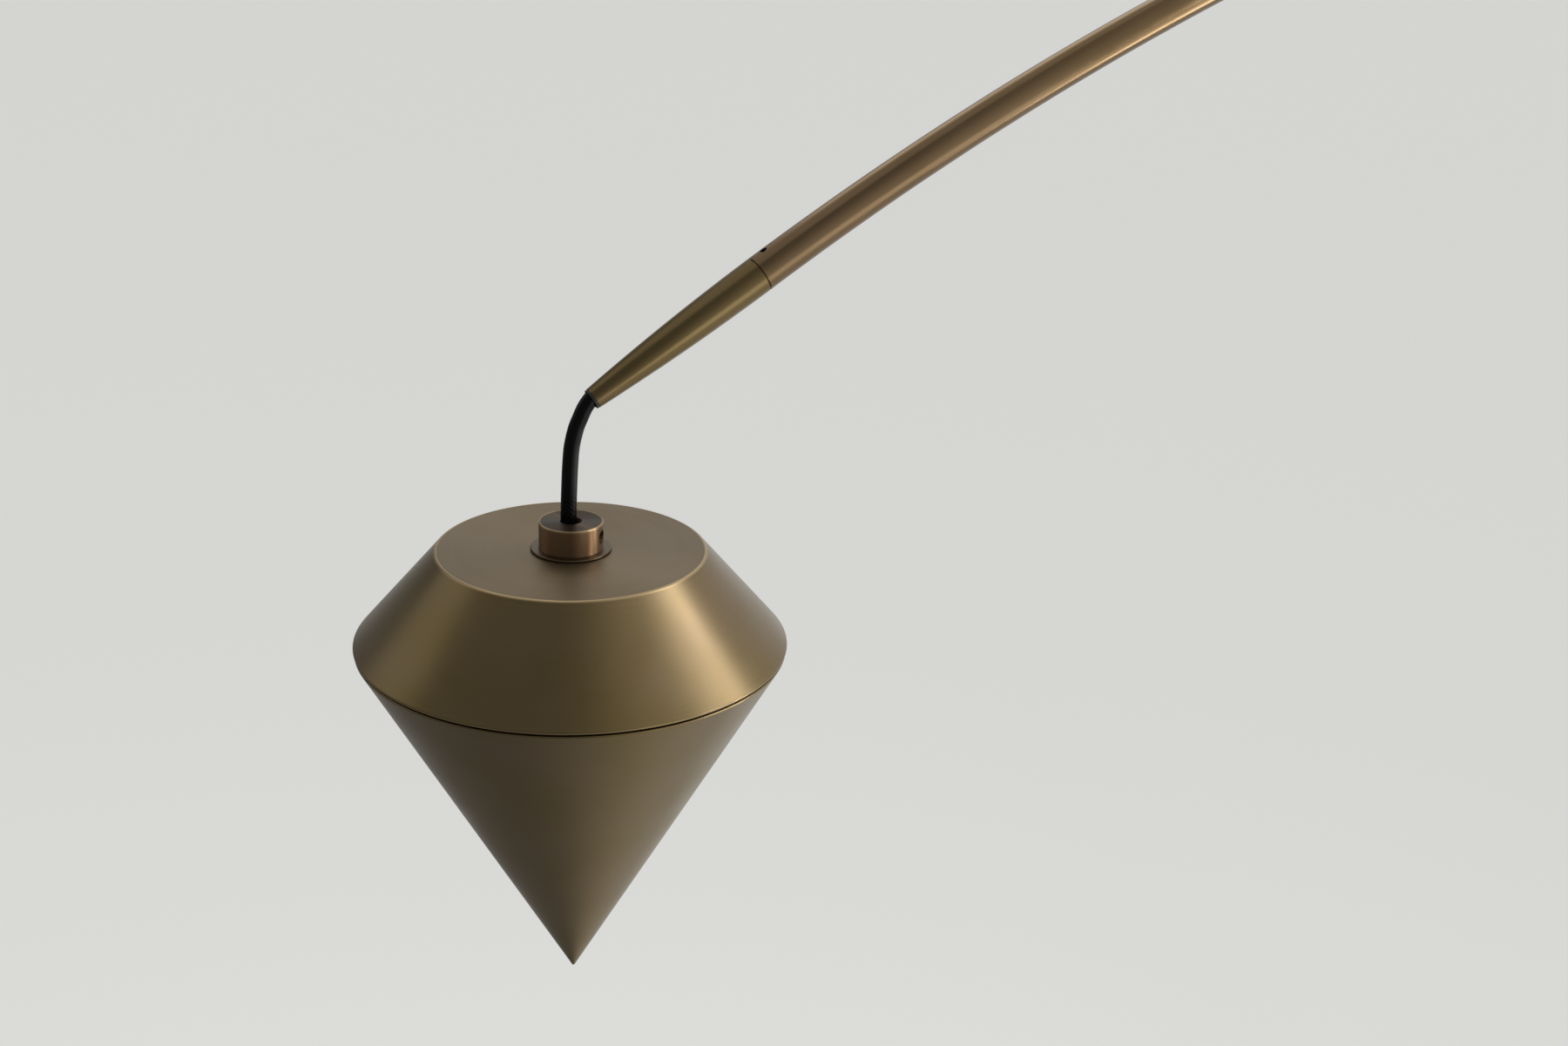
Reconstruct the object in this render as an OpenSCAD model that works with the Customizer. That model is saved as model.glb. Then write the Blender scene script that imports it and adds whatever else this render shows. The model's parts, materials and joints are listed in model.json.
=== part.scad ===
// Arc floor lamp. A heavy round base carries a stem, the stem's clamp holds a bent arm that swivels,
// and a pointed double-cone head hangs from the arm's tapered nose by a short textile cord.
// Millimetres. The origin is the middle of the base's underside, +Z is up and the head is towards -X.

/* [Head] */
// Largest radius of the shade, at its rim
rim_r = 92; // [80:1:110]
// Radius of the flat disc on top of the shade
disc_r = 57; // [40:1:65]
// Height of the shade above its rim
shade_h = 42; // [38:1:60]
// Depth of the pointed cone below the rim
cone_h = 161; // [130:1:200]
// How far the cone's top edge is set in from the rim
cone_inset = 0.5; // [0.3:0.1:3]
// Open slit between shade and cone, where the light leaves
slit_h = 0.8; // [0.6:0.1:5]
// Wall of the two spun shells
shell_wall = 1.2; // [0.8:0.1:2]
// Radius of the shade's rolled rim
rim_round = 0.8; // [0.6:0.1:1.5]
// Radius of the cone's rounded top edge
edge_round = 0.6; // [0.6:0.1:1.2]
// Radius of the crease between the shade's flat top and its side
crease_round = 1.5; // [0.6:0.1:3]
// Radius that the cone's point is rounded to
tip_round = 0.8; // [0.4:0.1:2]
// Height of the solid turned point inside the cone
tip_solid_h = 33; // [28:1:45]
// Radius of the threaded rod that draws the cone up
rod_r = 2.95; // [2:0.05:4]
// Thickness of the plates that carry the light ring and the cone
plate_t = 3; // [2:0.5:5]
// Radius of the upper plate, which cools the light ring
heat_plate_r = 84; // [76:1:84]
// Height of the spacer between the two plates
plate_gap = 9; // [8:0.5:14]
// Wall of the opal ring behind the slit
opal_t = 3; // [2:0.5:4]
// Middle radius of the ring of light chips
led_ring_r = 64; // [50:1:64]
// Number of light chips
led_count = 24; // [12:1:36]

/* [Collar] */
// Radius of the cord collar
collar_r = 13.6; // [12:0.1:18]
// Height of the cord collar
collar_h = 11.4; // [10:0.1:20]
// Radius of the washer under the collar
flange_r = 17.1; // [15:0.1:30]
// Thickness of the washer under the collar
flange_t = 1.2; // [0.8:0.1:3]
// Radius of the hole that the cord goes down
cord_hole_r = 4.55; // [4.5:0.05:5.5]
// Wall of the threaded tube under the collar
nipple_wall = 1.9; // [1.2:0.1:3]
// Side of the collar that the cord screw is on, in degrees from +X
cord_screw_side = -40; // [-180:5:180]

/* [Cord] */
// Diameter of the textile cord
cord_d = 6.8; // [5:0.1:6.8]
// Drop from the nose's mouth to the collar
cord_drop = 52; // [50:1:60]

/* [Arm] */
// Diameter of the arm tube
tube_d = 16; // [14:0.5:20]
// Wall of the arm tube
tube_wall = 1.5; // [1:0.1:1.8]
// Length of the tapered nose
nose_len = 89; // [60:1:120]
// Radius of the nose at its mouth
mouth_r = 4.6; // [4.6:0.1:6]
// Bend radius of the front tube
front_bend_r = 1530; // [1200:10:2000]
// Turn of the front tube in degrees
front_turn = 23.6; // [15:0.1:35]
// Bend radius of the middle tube
middle_bend_r = 700; // [500:10:900]
// Turn of the middle tube in degrees
middle_turn = 58; // [45:1:65]
// Bend radius of the rear tube
rear_bend_r = 450; // [300:10:600]
// Turn of the rear tube in degrees
rear_turn = 40; // [30:1:50]
// Straight length of the rear tube below its bend
leg_len = 660; // [400:10:800]
// Dark groove left between two tubes that meet
joint_gap = 0.8; // [0.3:0.1:1.5]
// Length of a spigot that plugs into a tube's end
spigot_len = 12; // [10:1:16]

/* [Stem] */
// Length of the stem tube
stem_len = 960; // [700:10:1100]
// Wall of the stem tube
stem_wall = 1.95; // [1.5:0.05:3]
// How far the arm plugs into the stem
plug_depth = 150; // [100:10:200]
// Wall of the clamp collar around the stem
clamp_wall = 4; // [3:0.5:8]
// Height of the clamp collar above the stem's end
clamp_h = 14; // [12:1:24]
// Radius of the thumb screw's thread
thumb_r = 3; // [2.5:0.25:4]
// Radius of the thumb screw's knurled head
thumb_head_r = 10; // [7:0.5:14]
// How far the clamp's pad draws back
clamp_travel = 1.5; // [0.5:0.1:2]

/* [Base] */
// Radius of the base
base_r = 190; // [180:1:230]
// Height of the base
base_h = 38; // [37:1:60]
// Wall of the base's cover
cover_wall = 1.5; // [1:0.1:2.5]
// Radius of the cover's rounded top edge
cover_round = 6; // [3:0.5:10]
// Thickness of the floor pad
pad_t = 2; // [1:0.5:4]
// Thickness of the steel bottom plate
bottom_t = 2; // [1.5:0.5:4]
// Radius of the stem's foot flange
foot_r = 32; // [26:1:60]
// Radius of the foot switch's button
button_r = 14; // [10:0.5:18]
// How far the foot button travels
button_travel = 3; // [1:0.5:4]
// Radius of the hole in the mains gland
gland_hole_r = 3.6; // [3:0.1:4.5]

/* [Hidden] */
$fn = 96;
BIG_FN = 360;
SMALL_FN = 48;

// Clearances: a part that turns or slides in another, a part that is pushed or screwed in,
// and the length by which a cutter passes the face that it cuts.
running_fit = 0.05;
screw_fit = 0.05;
over = 1;

// Grub screws: radius, and the hexagonal socket in their end
m3_r = 1.45;
m4_r = 1.95;
socket_depth = 1.2;

// Arm, as [x, z] points in its own plane. A heading is the angle from straight up towards -X.
function along(h) = [-sin(h), cos(h)];
function outward(h) = [cos(h), sin(h)];
function bend_centre(p, r, h) = p - r * outward(h);
function bend_end(p, r, h, turn) = bend_centre(p, r, h) + r * outward(h + turn);

tube_r = tube_d / 2;
tube_bore_r = tube_r - tube_wall;
cord_r = cord_d / 2;

floor_z = pad_t + bottom_t;
foot_ledge_z = base_h + 2;
stem_top_z = foot_ledge_z + stem_len;
leg_bottom_z = stem_top_z - plug_depth;
leg_bottom = [0, leg_bottom_z];
leg_top = [0, leg_bottom_z + leg_len];

front_h = rear_turn + middle_turn;
nose_h = front_h + front_turn;
rear_joint = bend_end(leg_top, rear_bend_r, 0, rear_turn);
middle_joint = bend_end(rear_joint, middle_bend_r, rear_turn, middle_turn);
nose_joint = bend_end(middle_joint, front_bend_r, front_h, front_turn);
mouth = nose_joint + nose_len * along(nose_h);

// Nose: its outline is an arc that leaves the tube's side tangent to it.
nose_arc_r = (nose_len * nose_len + pow(tube_r - mouth_r, 2)) / (2 * (tube_r - mouth_r));
nose_wall = 0.7;
nose_shoulder = 4;
lip_len = 1.1;
lip_r = mouth_r - 0.1;
lip_hole_r = mouth_r - 0.5;
neck_r = tube_r - 1.1;
// A straight spigot needs room in a bent tube for the rise of the bend over its length.
spigot_rise = spigot_len * spigot_len / (2 * min(rear_bend_r, middle_bend_r));
spigot_r = tube_bore_r - running_fit - spigot_rise;
spigot_bore_r = cord_r + 1;
joint_screw_at = 6.3;
tube_screw_hole_r = 1.6;

// The cord's route from inside the nose to inside the head: x, y and z from the mouth, and the
// cord's radius there as a share of its full radius, because the nose's mouth squeezes it.
cord_route = [
    [2.1, 0, 2.3, 0.76], [0.9, 0, 1.6, 0.88], [-0.2, 0, 0.4, 1], [-2.9, 0, -3.2, 1],
    [-5, 0, -7.5, 1], [-6.5, 0.1, -11, 1], [-7.6, 0.1, -14.7, 1], [-8.4, 0.2, -18.4, 1],
    [-8.9, 0.3, -22.2, 1], [-9.4, 0.4, -29.7, 1], [-9.7, 0.5, -37.4, 1], [-9.9, 0.6, -44, 1],
    [-10, 0.7, -52, 1], [-10, 0.7, -62, 1], [-10, 0.7, -74, 1], [-10, 0.7, -85, 1],
];
cord_side = 9.2;
cord_off = [-0.8, 0.7];
cord_end_drop = 85;
cord_squeeze_len = 22;
// The swinging cord ends this far from the leads and the cable that carry on from it.
cord_break = 0.3;

// Head: heights are from the rim's plane.
head_x = mouth[0] - cord_side;
collar_z = shade_h + flange_t;
rim_z = mouth[1] - cord_drop - collar_h - collar_z;
rim_c = [rim_r - rim_round, rim_round];
shade_reach = norm(rim_c - [disc_r, shade_h]);
shade_slope = atan2(shade_h - rim_c[1], rim_c[0] - disc_r) - asin(rim_round / shade_reach);
disc_c = [disc_r - crease_round * tan(shade_slope / 2), shade_h - crease_round];

edge_c = [rim_r - cone_inset - edge_round, -slit_h - edge_round];
cone_reach = norm(edge_c - [0, -cone_h]);
cone_half = atan2(edge_c[0], edge_c[1] + cone_h) + asin(edge_round / cone_reach);
tip_c = [0, -cone_h + tip_round / sin(cone_half)];
tip_fill_z = -cone_h + tip_solid_h;
function cone_in_r(z) = (z + cone_h) * tan(cone_half) - shell_wall / cos(cone_half);

nipple_r = cord_hole_r + nipple_wall;
nipple_hole_r = nipple_r + screw_fit;
nipple_bite = 3.5;
nipple_end_z = 26;
nut_h = 4;
heat_plate_z = 1;
yoke_z = heat_plate_z + plate_t;
yoke_window_z = yoke_z + 8;
yoke_ring_h = 6;
yoke_r = nipple_r + 3;
cone_plate_z = heat_plate_z - plate_gap;
rod_bite = 14;
rod_end_z = tip_fill_z - rod_bite + 1;
board_t = 1.6;
board_w = 18;
chip = 3.5;
chip_t = 0.8;
opal_r = heat_plate_r - 6;
terminal_size = [20, 16, 12];
terminal_x = -50;
lead_r = 0.9;
lead_hole = [-62, 2.6];
cord_screw_z = 5.7;
cord_screw_sink_r = 3;
cord_screw_end = collar_r - 3.6;
cord_tip_r = 1.6;
cord_tip_at = cord_r - norm(cord_off) + 0.06;

// Stem
stem_bore_r = tube_r + running_fit;
stem_r = stem_bore_r + stem_wall;
stop_h = 12;
stop_hole_r = 5.2;
plug_r = 4.8;
plug_pin_r = 2.4;
plug_pin_len = 14;
plug_below = 30;
plug_above = 10;
socket_len = 40;
socket_top_z = leg_bottom_z - plug_below - 0.3;
stem_cable_r = 2.5;
clamp_r = stem_r + clamp_wall;
clamp_below = 18;
thumb_z = stem_top_z + clamp_h / 2;
thumb_pad_len = 3;
thumb_pad_gap = 0.02;
thumb_head_at = clamp_r + clamp_travel + 2;
thumb_head_len = 9;
knurls = 24;
knurl_r = 0.8;

// Base
weight_top_z = base_h - cover_wall;
weight_r = base_r - cover_wall - 0.3;
bottom_r = weight_r - 2;
pad_out_r = bottom_r - 2;
foot_thread_r = 9.95;
foot_bore_r = 6;
foot_h = 6;
foot_hub_r = stem_r + 5;
foot_hub_h = 26;
foot_end_z = floor_z + 8;
foot_nut_h = 8;
foot_nut_r = 19;
foot_washer_t = 2;
foot_washer_r = 21;
nut_well_r = 23;
nut_well_top_z = foot_end_z + foot_nut_h + foot_washer_t;
bottom_screw_ring = bottom_r - 12;
bottom_screw_r = 2.45;
bottom_screw_len = 14;
bottom_screw_count = 6;

channel_h = 10;
channel_w = 12;
cable_turn_r = 10;
cable_run_z = floor_z + 4;
driver_size = [60, 110, 24];
driver_x = base_r - 120;
driver_ear = 8;
driver_ear_t = 3;
pocket_gap = 4;
driver_screw_at = driver_size[1] / 2 + driver_ear / 2;
block_size = [16, 28, 14];
block_x = driver_x + driver_size[0] + 16;
block_well = [block_x - pocket_gap, 44];
gland_z = floor_z + 16;
gland_body_r = gland_hole_r + 2.4;
gland_hex_r = gland_body_r + 3;
gland_hex_t = 5;
gland_dome_len = 8;
gland_inner = 12;
gland_nut_t = 5;
gland_nut_x = sqrt(pow(base_r - cover_wall, 2) - pow(gland_hex_r, 2)) - gland_nut_t;

switch_at = [0, -base_r + 70];
button_proud = button_travel + 1;
button_flange_r = button_r + 1.2;
button_flange_t = 4;
ring_drop = 4;
ring_in_r = button_r + running_fit;
ring_spigot_r = button_r + 1.4;
ring_flange_r = button_r + 6;
ring_t = 2;
flange_top_z = base_h - ring_drop;
case_in_r = button_flange_r + 0.3;
case_r = case_in_r + 1.5;
case_floor_z = floor_z + 6;
case_floor_t = 2;
spring_r = 6;
spring_wire_r = 0.9;
spring_turns = 5;
spring_z = case_floor_z + case_floor_t;
spring_h = flange_top_z - button_flange_t - spring_z;
switch_lead_r = 1.2;
switch_lead_z = [floor_z + 3, floor_z + 6.5];
switch_lead_y = -30;

BRASS = "#8a7350";
PALE_BRASS = "#94845a";
BLACK = "#1a1a1c";
STEEL = "#9a9da0";
ALUMINIUM = "#b9bcc0";
OPAL = "#f2efe8";
IRON = "#3a3c3f";

// Helpers

module at(p) {
    translate([p[0], 0, p[1]]) children();
}

// Local +Z runs along heading h, and local +X points to the outside of the bend.
module facing(h) {
    rotate([0, -h, 0]) children();
}

// A length of tube that starts at p with heading h and turns on radius r.
module bent_tube(p, r, h, turn) {
    at(bend_centre(p, r, h)) rotate([90, 0, 0]) rotate([0, 0, h])
        rotate_extrude(angle = turn, $fn = BIG_FN) translate([r, 0]) difference() {
            circle(tube_r, $fn = SMALL_FN);
            circle(tube_bore_r, $fn = SMALL_FN);
        }
}

// The same, but it starts joint_gap beyond joint p.
module tube_beyond(p, r, h, turn) {
    skip = joint_gap / r * 180 / PI;
    bent_tube(bend_end(p, r, h, skip), r, h + skip, turn - skip);
}

// Children stand across the arm at distance s from joint p, with local +Z to the outside.
module across(p, h, s) {
    at(p + s * along(h)) rotate([0, 90 - h, 0]) children();
}

module ring_tube(outer, inner, h) {
    difference() {
        cylinder(h = h, r = outer);
        translate([0, 0, -over]) cylinder(h = h + 2 * over, r = inner);
    }
}

module hex_nut(radius, hole, h) {
    difference() {
        cylinder(h = h, r = radius, $fn = 6);
        translate([0, 0, -over]) cylinder(h = h + 2 * over, r = hole);
    }
}

// A grub screw along +Z from z0 to z1, with its socket at z1.
module grub(r, z0, z1) {
    difference() {
        translate([0, 0, z0]) cylinder(h = z1 - z0, r = r, $fn = SMALL_FN);
        translate([0, 0, z1 - socket_depth])
            cylinder(h = socket_depth + over, r = r * 0.6, $fn = 6);
    }
}

// Children lie along the horizontal direction at angle a, with local +Z outwards.
module sideways(a, z) {
    translate([0, 0, z]) rotate([0, 0, a]) rotate([0, 90, 0]) children();
}

// Points of an arc about c, from angle a0 to a1 in steps of about 10 degrees.
function arc_points(c, r, a0, a1) =
    let (steps = ceil(abs(a1 - a0) / 10))
    [for (i = [0:steps]) let (a = a0 + (a1 - a0) * i / steps) c + r * [cos(a), sin(a)]];

// How far past half a turn a rolled edge of radius r goes before it meets the wall's inside.
function roll_past(r, wall) = acos(min(1, (wall - r) / r));

function unit(v) = v / norm(v);
function tangent(p, i) = unit(p[min(i + 1, len(p) - 1)] - p[max(i - 1, 0)]);
function ring_points(c, t, across, r, n) =
    let (u = unit(cross(t, across)), v = cross(t, u))
    [for (k = [0:n - 1]) c + r * (cos(360 * k / n) * u + sin(360 * k / n) * v)];

// A closed tube through points, with radii, whose rings are set by the direction across.
module sweep(points, radii, across, sides) {
    last = len(points) - 1;
    polyhedron(
        points = [for (i = [0:last])
            each ring_points(points[i], tangent(points, i), across, radii[i], sides)],
        faces = concat(
            [[for (k = [0:sides - 1]) k]],
            [for (i = [0:last - 1]) for (k = [0:sides - 1])
                let (a = i * sides + k, b = i * sides + (k + 1) % sides)
                each [[a, a + sides, b + sides], [a, b + sides, b]]],
            [[for (k = [sides - 1:-1:0]) last * sides + k]]
        )
    );
}

function all_of(value, points) = [for (p = points) value];

// Head

module in_head() {
    translate([head_x, 0, rim_z]) children();
}

module upper_shade() {
    under_z = shade_h - shell_wall;
    corner_r = disc_r + shell_wall / tan(shade_slope) - shell_wall / sin(shade_slope);
    normal_a = 90 - shade_slope;
    color(BRASS) in_head() rotate_extrude($fn = BIG_FN) polygon(concat(
        [[nipple_hole_r, under_z], [nipple_hole_r, shade_h]],
        arc_points(disc_c, crease_round, 90, normal_a),
        arc_points(rim_c, rim_round, normal_a, normal_a - 180 - roll_past(rim_round, shell_wall)),
        [[corner_r, under_z]]
    ));
}

module lower_cone() {
    color(BRASS) in_head() difference() {
        rotate_extrude($fn = BIG_FN) polygon(concat(
            [[0, tip_fill_z]],
            arc_points(tip_c, tip_round, -90, -cone_half),
            arc_points(edge_c, edge_round, -cone_half,
                       180 - cone_half + roll_past(edge_round, shell_wall)),
            [[cone_in_r(tip_fill_z), tip_fill_z]]
        ));
        translate([0, 0, tip_fill_z - rod_bite])
            cylinder(h = rod_bite + over, r = rod_r + screw_fit);
    }
}

module collar_washer() {
    color(BRASS) in_head() translate([0, 0, shade_h]) rotate_extrude($fn = BIG_FN) union() {
        translate([nipple_hole_r, 0])
            square([flange_r - flange_t / 2 - nipple_hole_r, flange_t]);
        translate([flange_r - flange_t / 2, flange_t / 2]) circle(flange_t / 2, $fn = SMALL_FN);
    }
}

module cord_collar() {
    edge = 0.4;
    color(BRASS) in_head() translate([0, 0, collar_z]) difference() {
        rotate_extrude($fn = BIG_FN) union() {
            square([collar_r, collar_h - edge]);
            square([collar_r - edge, collar_h]);
            translate([collar_r - edge, collar_h - edge]) circle(edge, $fn = SMALL_FN);
        }
        translate([0, 0, -over]) cylinder(h = collar_h + 2 * over, r = cord_hole_r);
        translate([0, 0, -over]) cylinder(h = nipple_bite + over + 0.1, r = nipple_hole_r);
        sideways(cord_screw_side, cord_screw_z) {
            cylinder(h = collar_r + over, r = m4_r + screw_fit, $fn = SMALL_FN);
            translate([0, 0, cord_screw_end - 0.5])
                cylinder(h = collar_r, r = cord_screw_sink_r, $fn = SMALL_FN);
        }
    }
}

module cord_screw() {
    color(STEEL) in_head() translate([0, 0, collar_z]) sideways(cord_screw_side, cord_screw_z)
        grub(m4_r, cord_tip_at + 2, cord_screw_end);
}

module cord_screw_tip() {
    color(BLACK) in_head() translate([0, 0, collar_z]) sideways(cord_screw_side, cord_screw_z)
        translate([0, 0, cord_tip_at]) cylinder(h = 2, r = cord_tip_r, $fn = SMALL_FN);
}

module head_nipple() {
    top = collar_z + nipple_bite;
    color(STEEL) in_head() translate([0, 0, nipple_end_z])
        ring_tube(nipple_r, cord_hole_r, top - nipple_end_z);
}

module nipple_nut() {
    color(STEEL) in_head() translate([0, 0, shade_h - shell_wall - nut_h])
        hex_nut(nipple_r + 3.4, nipple_hole_r, nut_h);
}

// Stirrup between the nipple and the rod: the cord's leads come out through its window.
module wire_yoke() {
    top = nipple_end_z + yoke_ring_h;
    color(STEEL) in_head() difference() {
        translate([0, 0, yoke_z]) cylinder(h = top - yoke_z, r = yoke_r);
        translate([0, 0, nipple_end_z]) cylinder(h = yoke_ring_h + over, r = nipple_hole_r);
        translate([-yoke_r - over, -nipple_r, yoke_window_z])
            cube([2 * (yoke_r + over), 2 * nipple_r, nipple_end_z - yoke_window_z]);
        translate([0, 0, yoke_window_z]) cylinder(h = top - yoke_window_z, r = nipple_r);
        translate([0, 0, yoke_z - over])
            cylinder(h = yoke_window_z - yoke_z + 2 * over, r = rod_r + screw_fit);
    }
}

module heat_plate() {
    color(ALUMINIUM) in_head() translate([0, 0, heat_plate_z]) difference() {
        ring_tube(heat_plate_r, rod_r + screw_fit, plate_t);
        translate([lead_hole[0], 0, -over])
            cylinder(h = plate_t + 2 * over, r = lead_hole[1], $fn = SMALL_FN);
    }
}

module led_board() {
    color(OPAL) in_head() translate([0, 0, heat_plate_z - board_t])
        ring_tube(led_ring_r + board_w / 2, led_ring_r - board_w / 2, board_t);
}

module led_chips() {
    color("#e8d27a") in_head() for (i = [0:led_count - 1]) rotate([0, 0, 360 * i / led_count])
        translate([led_ring_r - chip / 2, -chip / 2, heat_plate_z - board_t - chip_t])
            cube([chip, chip, chip_t]);
}

module opal_ring() {
    color(OPAL) in_head() translate([0, 0, cone_plate_z])
        ring_tube(opal_r, opal_r - opal_t, plate_gap);
}

module plate_spacer() {
    color(STEEL) in_head() translate([0, 0, cone_plate_z])
        ring_tube(rod_r + 3, rod_r + screw_fit, plate_gap);
}

// Disc whose bevelled edge wedges into the cone from above.
module cone_plate() {
    low = cone_plate_z - plate_t;
    color(ALUMINIUM) in_head() translate([0, 0, low]) difference() {
        cylinder(h = plate_t, r1 = cone_in_r(low) - running_fit,
                 r2 = cone_in_r(cone_plate_z) - running_fit, $fn = BIG_FN);
        translate([0, 0, -over]) cylinder(h = plate_t + 2 * over, r = rod_r + screw_fit);
    }
}

module cone_rod() {
    color(STEEL) in_head() translate([0, 0, rod_end_z])
        cylinder(h = yoke_window_z - rod_end_z, r = rod_r);
}

module head_terminal() {
    wire_hole_r = 1.5;
    color(OPAL) in_head() translate([terminal_x, -terminal_size[1] / 2, yoke_z]) difference() {
        cube(terminal_size);
        for (y = [4, 12]) translate([6, y, terminal_size[2] - 4])
            cylinder(h = 4 + over, r = wire_hole_r, $fn = SMALL_FN);
    }
}

module head_leads() {
    start_z = mouth[1] - cord_end_drop - rim_z - cord_break;
    near_x = terminal_x + terminal_size[0];
    color(BLACK) in_head() for (s = [-1, 1]) {
        start = [cord_off[0], cord_off[1] + 1.2 * s];
        to_cord = [
            [start[0], start[1], start_z], [start[0], start[1], start_z - 2],
            [-2, 0.5 + 1.6 * s, start_z - 3.7], [-7, 3 * s, yoke_window_z + 4],
            [-14, 4 * s, yoke_window_z + 2.5], [near_x + 8, 4 * s, yoke_z + 6.6],
            [near_x + 3, 4 * s, yoke_z + 6], [near_x, 4 * s, yoke_z + 6],
        ];
        to_board = [
            [terminal_x, 3 * s, yoke_z + 5], [terminal_x - 3, 3 * s, yoke_z + 5],
            [terminal_x - 7, 2.2 * s, yoke_z + 4.5], [lead_hole[0] + 1.5, 1.5 * s, yoke_z + 3],
            [lead_hole[0], 1.1 * s, yoke_z], [lead_hole[0], 1.1 * s, heat_plate_z],
        ];
        sweep(to_cord, all_of(lead_r, to_cord), [0, 1, 0], 8);
        sweep(to_board, all_of(lead_r, to_board), [0, 1, 0], 8);
    }
}

// Cord

module pendant_flex() {
    points = [for (p = cord_route) [mouth[0] + p[0], p[1], mouth[1] + p[2]]];
    color(BLACK) sweep(points, [for (p = cord_route) cord_r * p[3]], [0, 1, 0], 12);
}

// Arm

module nose_cone() {
    color(PALE_BRASS) difference() {
        at(nose_joint) facing(nose_h) rotate_extrude() difference() {
            union() {
                translate([0, -spigot_len]) square([spigot_r, spigot_len + nose_shoulder]);
                square([neck_r, nose_shoulder]);
                intersection() {
                    translate([tube_r - nose_arc_r, 0]) circle(nose_arc_r, $fn = 2880);
                    translate([0, joint_gap]) square([tube_r, nose_len - joint_gap - lip_len]);
                }
            }
            translate([0, -spigot_len - over])
                square([spigot_bore_r, spigot_len + nose_shoulder + 2 * over]);
            intersection() {
                translate([tube_r - nose_arc_r, 0])
                    circle(nose_arc_r - nose_wall, $fn = 2880);
                translate([0, nose_shoulder]) square([tube_r, nose_len]);
            }
        }
        across(nose_joint, nose_h, -joint_screw_at)
            cylinder(h = tube_r, r = m3_r + screw_fit, $fn = SMALL_FN);
    }
}

module nose_bush() {
    color(BLACK) at(nose_joint) facing(nose_h) translate([0, 0, nose_len - lip_len])
        ring_tube(lip_r, lip_hole_r, lip_len);
}

// Clear hole for a grub screw in a tube, at distance s from joint p.
module screw_hole(p, h, s) {
    across(p, h, s) cylinder(h = tube_r + over, r = tube_screw_hole_r, $fn = SMALL_FN);
}

module front_tube() {
    color(BRASS) difference() {
        tube_beyond(middle_joint, front_bend_r, front_h, front_turn);
        screw_hole(middle_joint, front_h, joint_screw_at);
        screw_hole(nose_joint, nose_h, -joint_screw_at);
    }
}

module middle_tube() {
    color(BRASS) difference() {
        tube_beyond(rear_joint, middle_bend_r, rear_turn, middle_turn);
        screw_hole(rear_joint, rear_turn, joint_screw_at);
        screw_hole(middle_joint, front_h, -joint_screw_at);
    }
}

module rear_tube() {
    color(BRASS) difference() {
        union() {
            at(leg_bottom) ring_tube(tube_r, tube_bore_r, leg_len);
            bent_tube(leg_top, rear_bend_r, 0, rear_turn);
        }
        screw_hole(rear_joint, rear_turn, -joint_screw_at);
    }
}

// Sleeve inside two tubes that meet: a low ring on it keeps the tubes' ends apart.
module tube_sleeve(joint, h) {
    difference() {
        at(joint) facing(h) rotate_extrude() difference() {
            union() {
                translate([0, -spigot_len]) square([spigot_r, 2 * spigot_len]);
                square([neck_r, joint_gap]);
            }
            translate([0, -spigot_len - over]) square([spigot_bore_r, 2 * (spigot_len + over)]);
        }
        for (s = [-1, 1]) across(joint, h, s * joint_screw_at)
            cylinder(h = tube_r, r = m3_r + screw_fit, $fn = SMALL_FN);
    }
}

module front_sleeve() {
    color(BRASS) tube_sleeve(middle_joint, front_h);
}

module rear_sleeve() {
    color(BRASS) tube_sleeve(rear_joint, rear_turn);
}

module tube_set_screws() {
    from_r = spigot_bore_r + 0.2;
    to_r = tube_r - 0.5;
    color(BLACK) {
        across(nose_joint, nose_h, -joint_screw_at) grub(m3_r, from_r, to_r);
        for (s = [-1, 1]) {
            across(middle_joint, front_h, s * joint_screw_at) grub(m3_r, from_r, to_r);
            across(rear_joint, rear_turn, s * joint_screw_at) grub(m3_r, from_r, to_r);
        }
    }
}

// The cable lies along the tubes' middle line: from its plug up the leg, round the three bends
// and down the nose, where it narrows to what the mouth leaves it.
function bend_line(p, r, h, turn, steps) =
    [for (i = [1:steps]) bend_end(p, r, h, turn * i / steps)];
cable_line = concat(
    [leg_bottom + [0, plug_above], leg_top],
    bend_line(leg_top, rear_bend_r, 0, rear_turn, 8),
    bend_line(rear_joint, middle_bend_r, rear_turn, middle_turn, 12),
    bend_line(middle_joint, front_bend_r, front_h, front_turn, 8),
    [nose_joint + (nose_len - cord_squeeze_len) * along(nose_h)],
    [mouth + [cord_route[0][0], cord_route[0][2]] - cord_break * along(nose_h)]
);

module arm_cable() {
    points = [for (p = cable_line) [p[0], 0, p[1]]];
    last = len(points) - 1;
    radii = [for (i = [0:last]) cord_r * (i < last ? 1 : cord_route[0][3])];
    color(BLACK) sweep(points, radii, [0, 1, 0], 10);
}

// Round plug that can turn in the socket below it.
module arm_plug() {
    color(BLACK) union() {
        translate([0, 0, leg_bottom_z - plug_below])
            cylinder(h = plug_below + plug_above, r = plug_r);
        translate([0, 0, leg_bottom_z - plug_below - plug_pin_len])
            cylinder(h = plug_pin_len + 0.5, r = plug_pin_r);
    }
}

// Stem

module stem_tube() {
    stop_screw_z = leg_bottom_z - stop_h / 2;
    color(BRASS) difference() {
        translate([0, 0, foot_ledge_z]) ring_tube(stem_r, stem_bore_r, stem_len);
        sideways(0, stop_screw_z) cylinder(h = stem_r + over, r = m4_r + screw_fit, $fn = SMALL_FN);
    }
}

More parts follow.
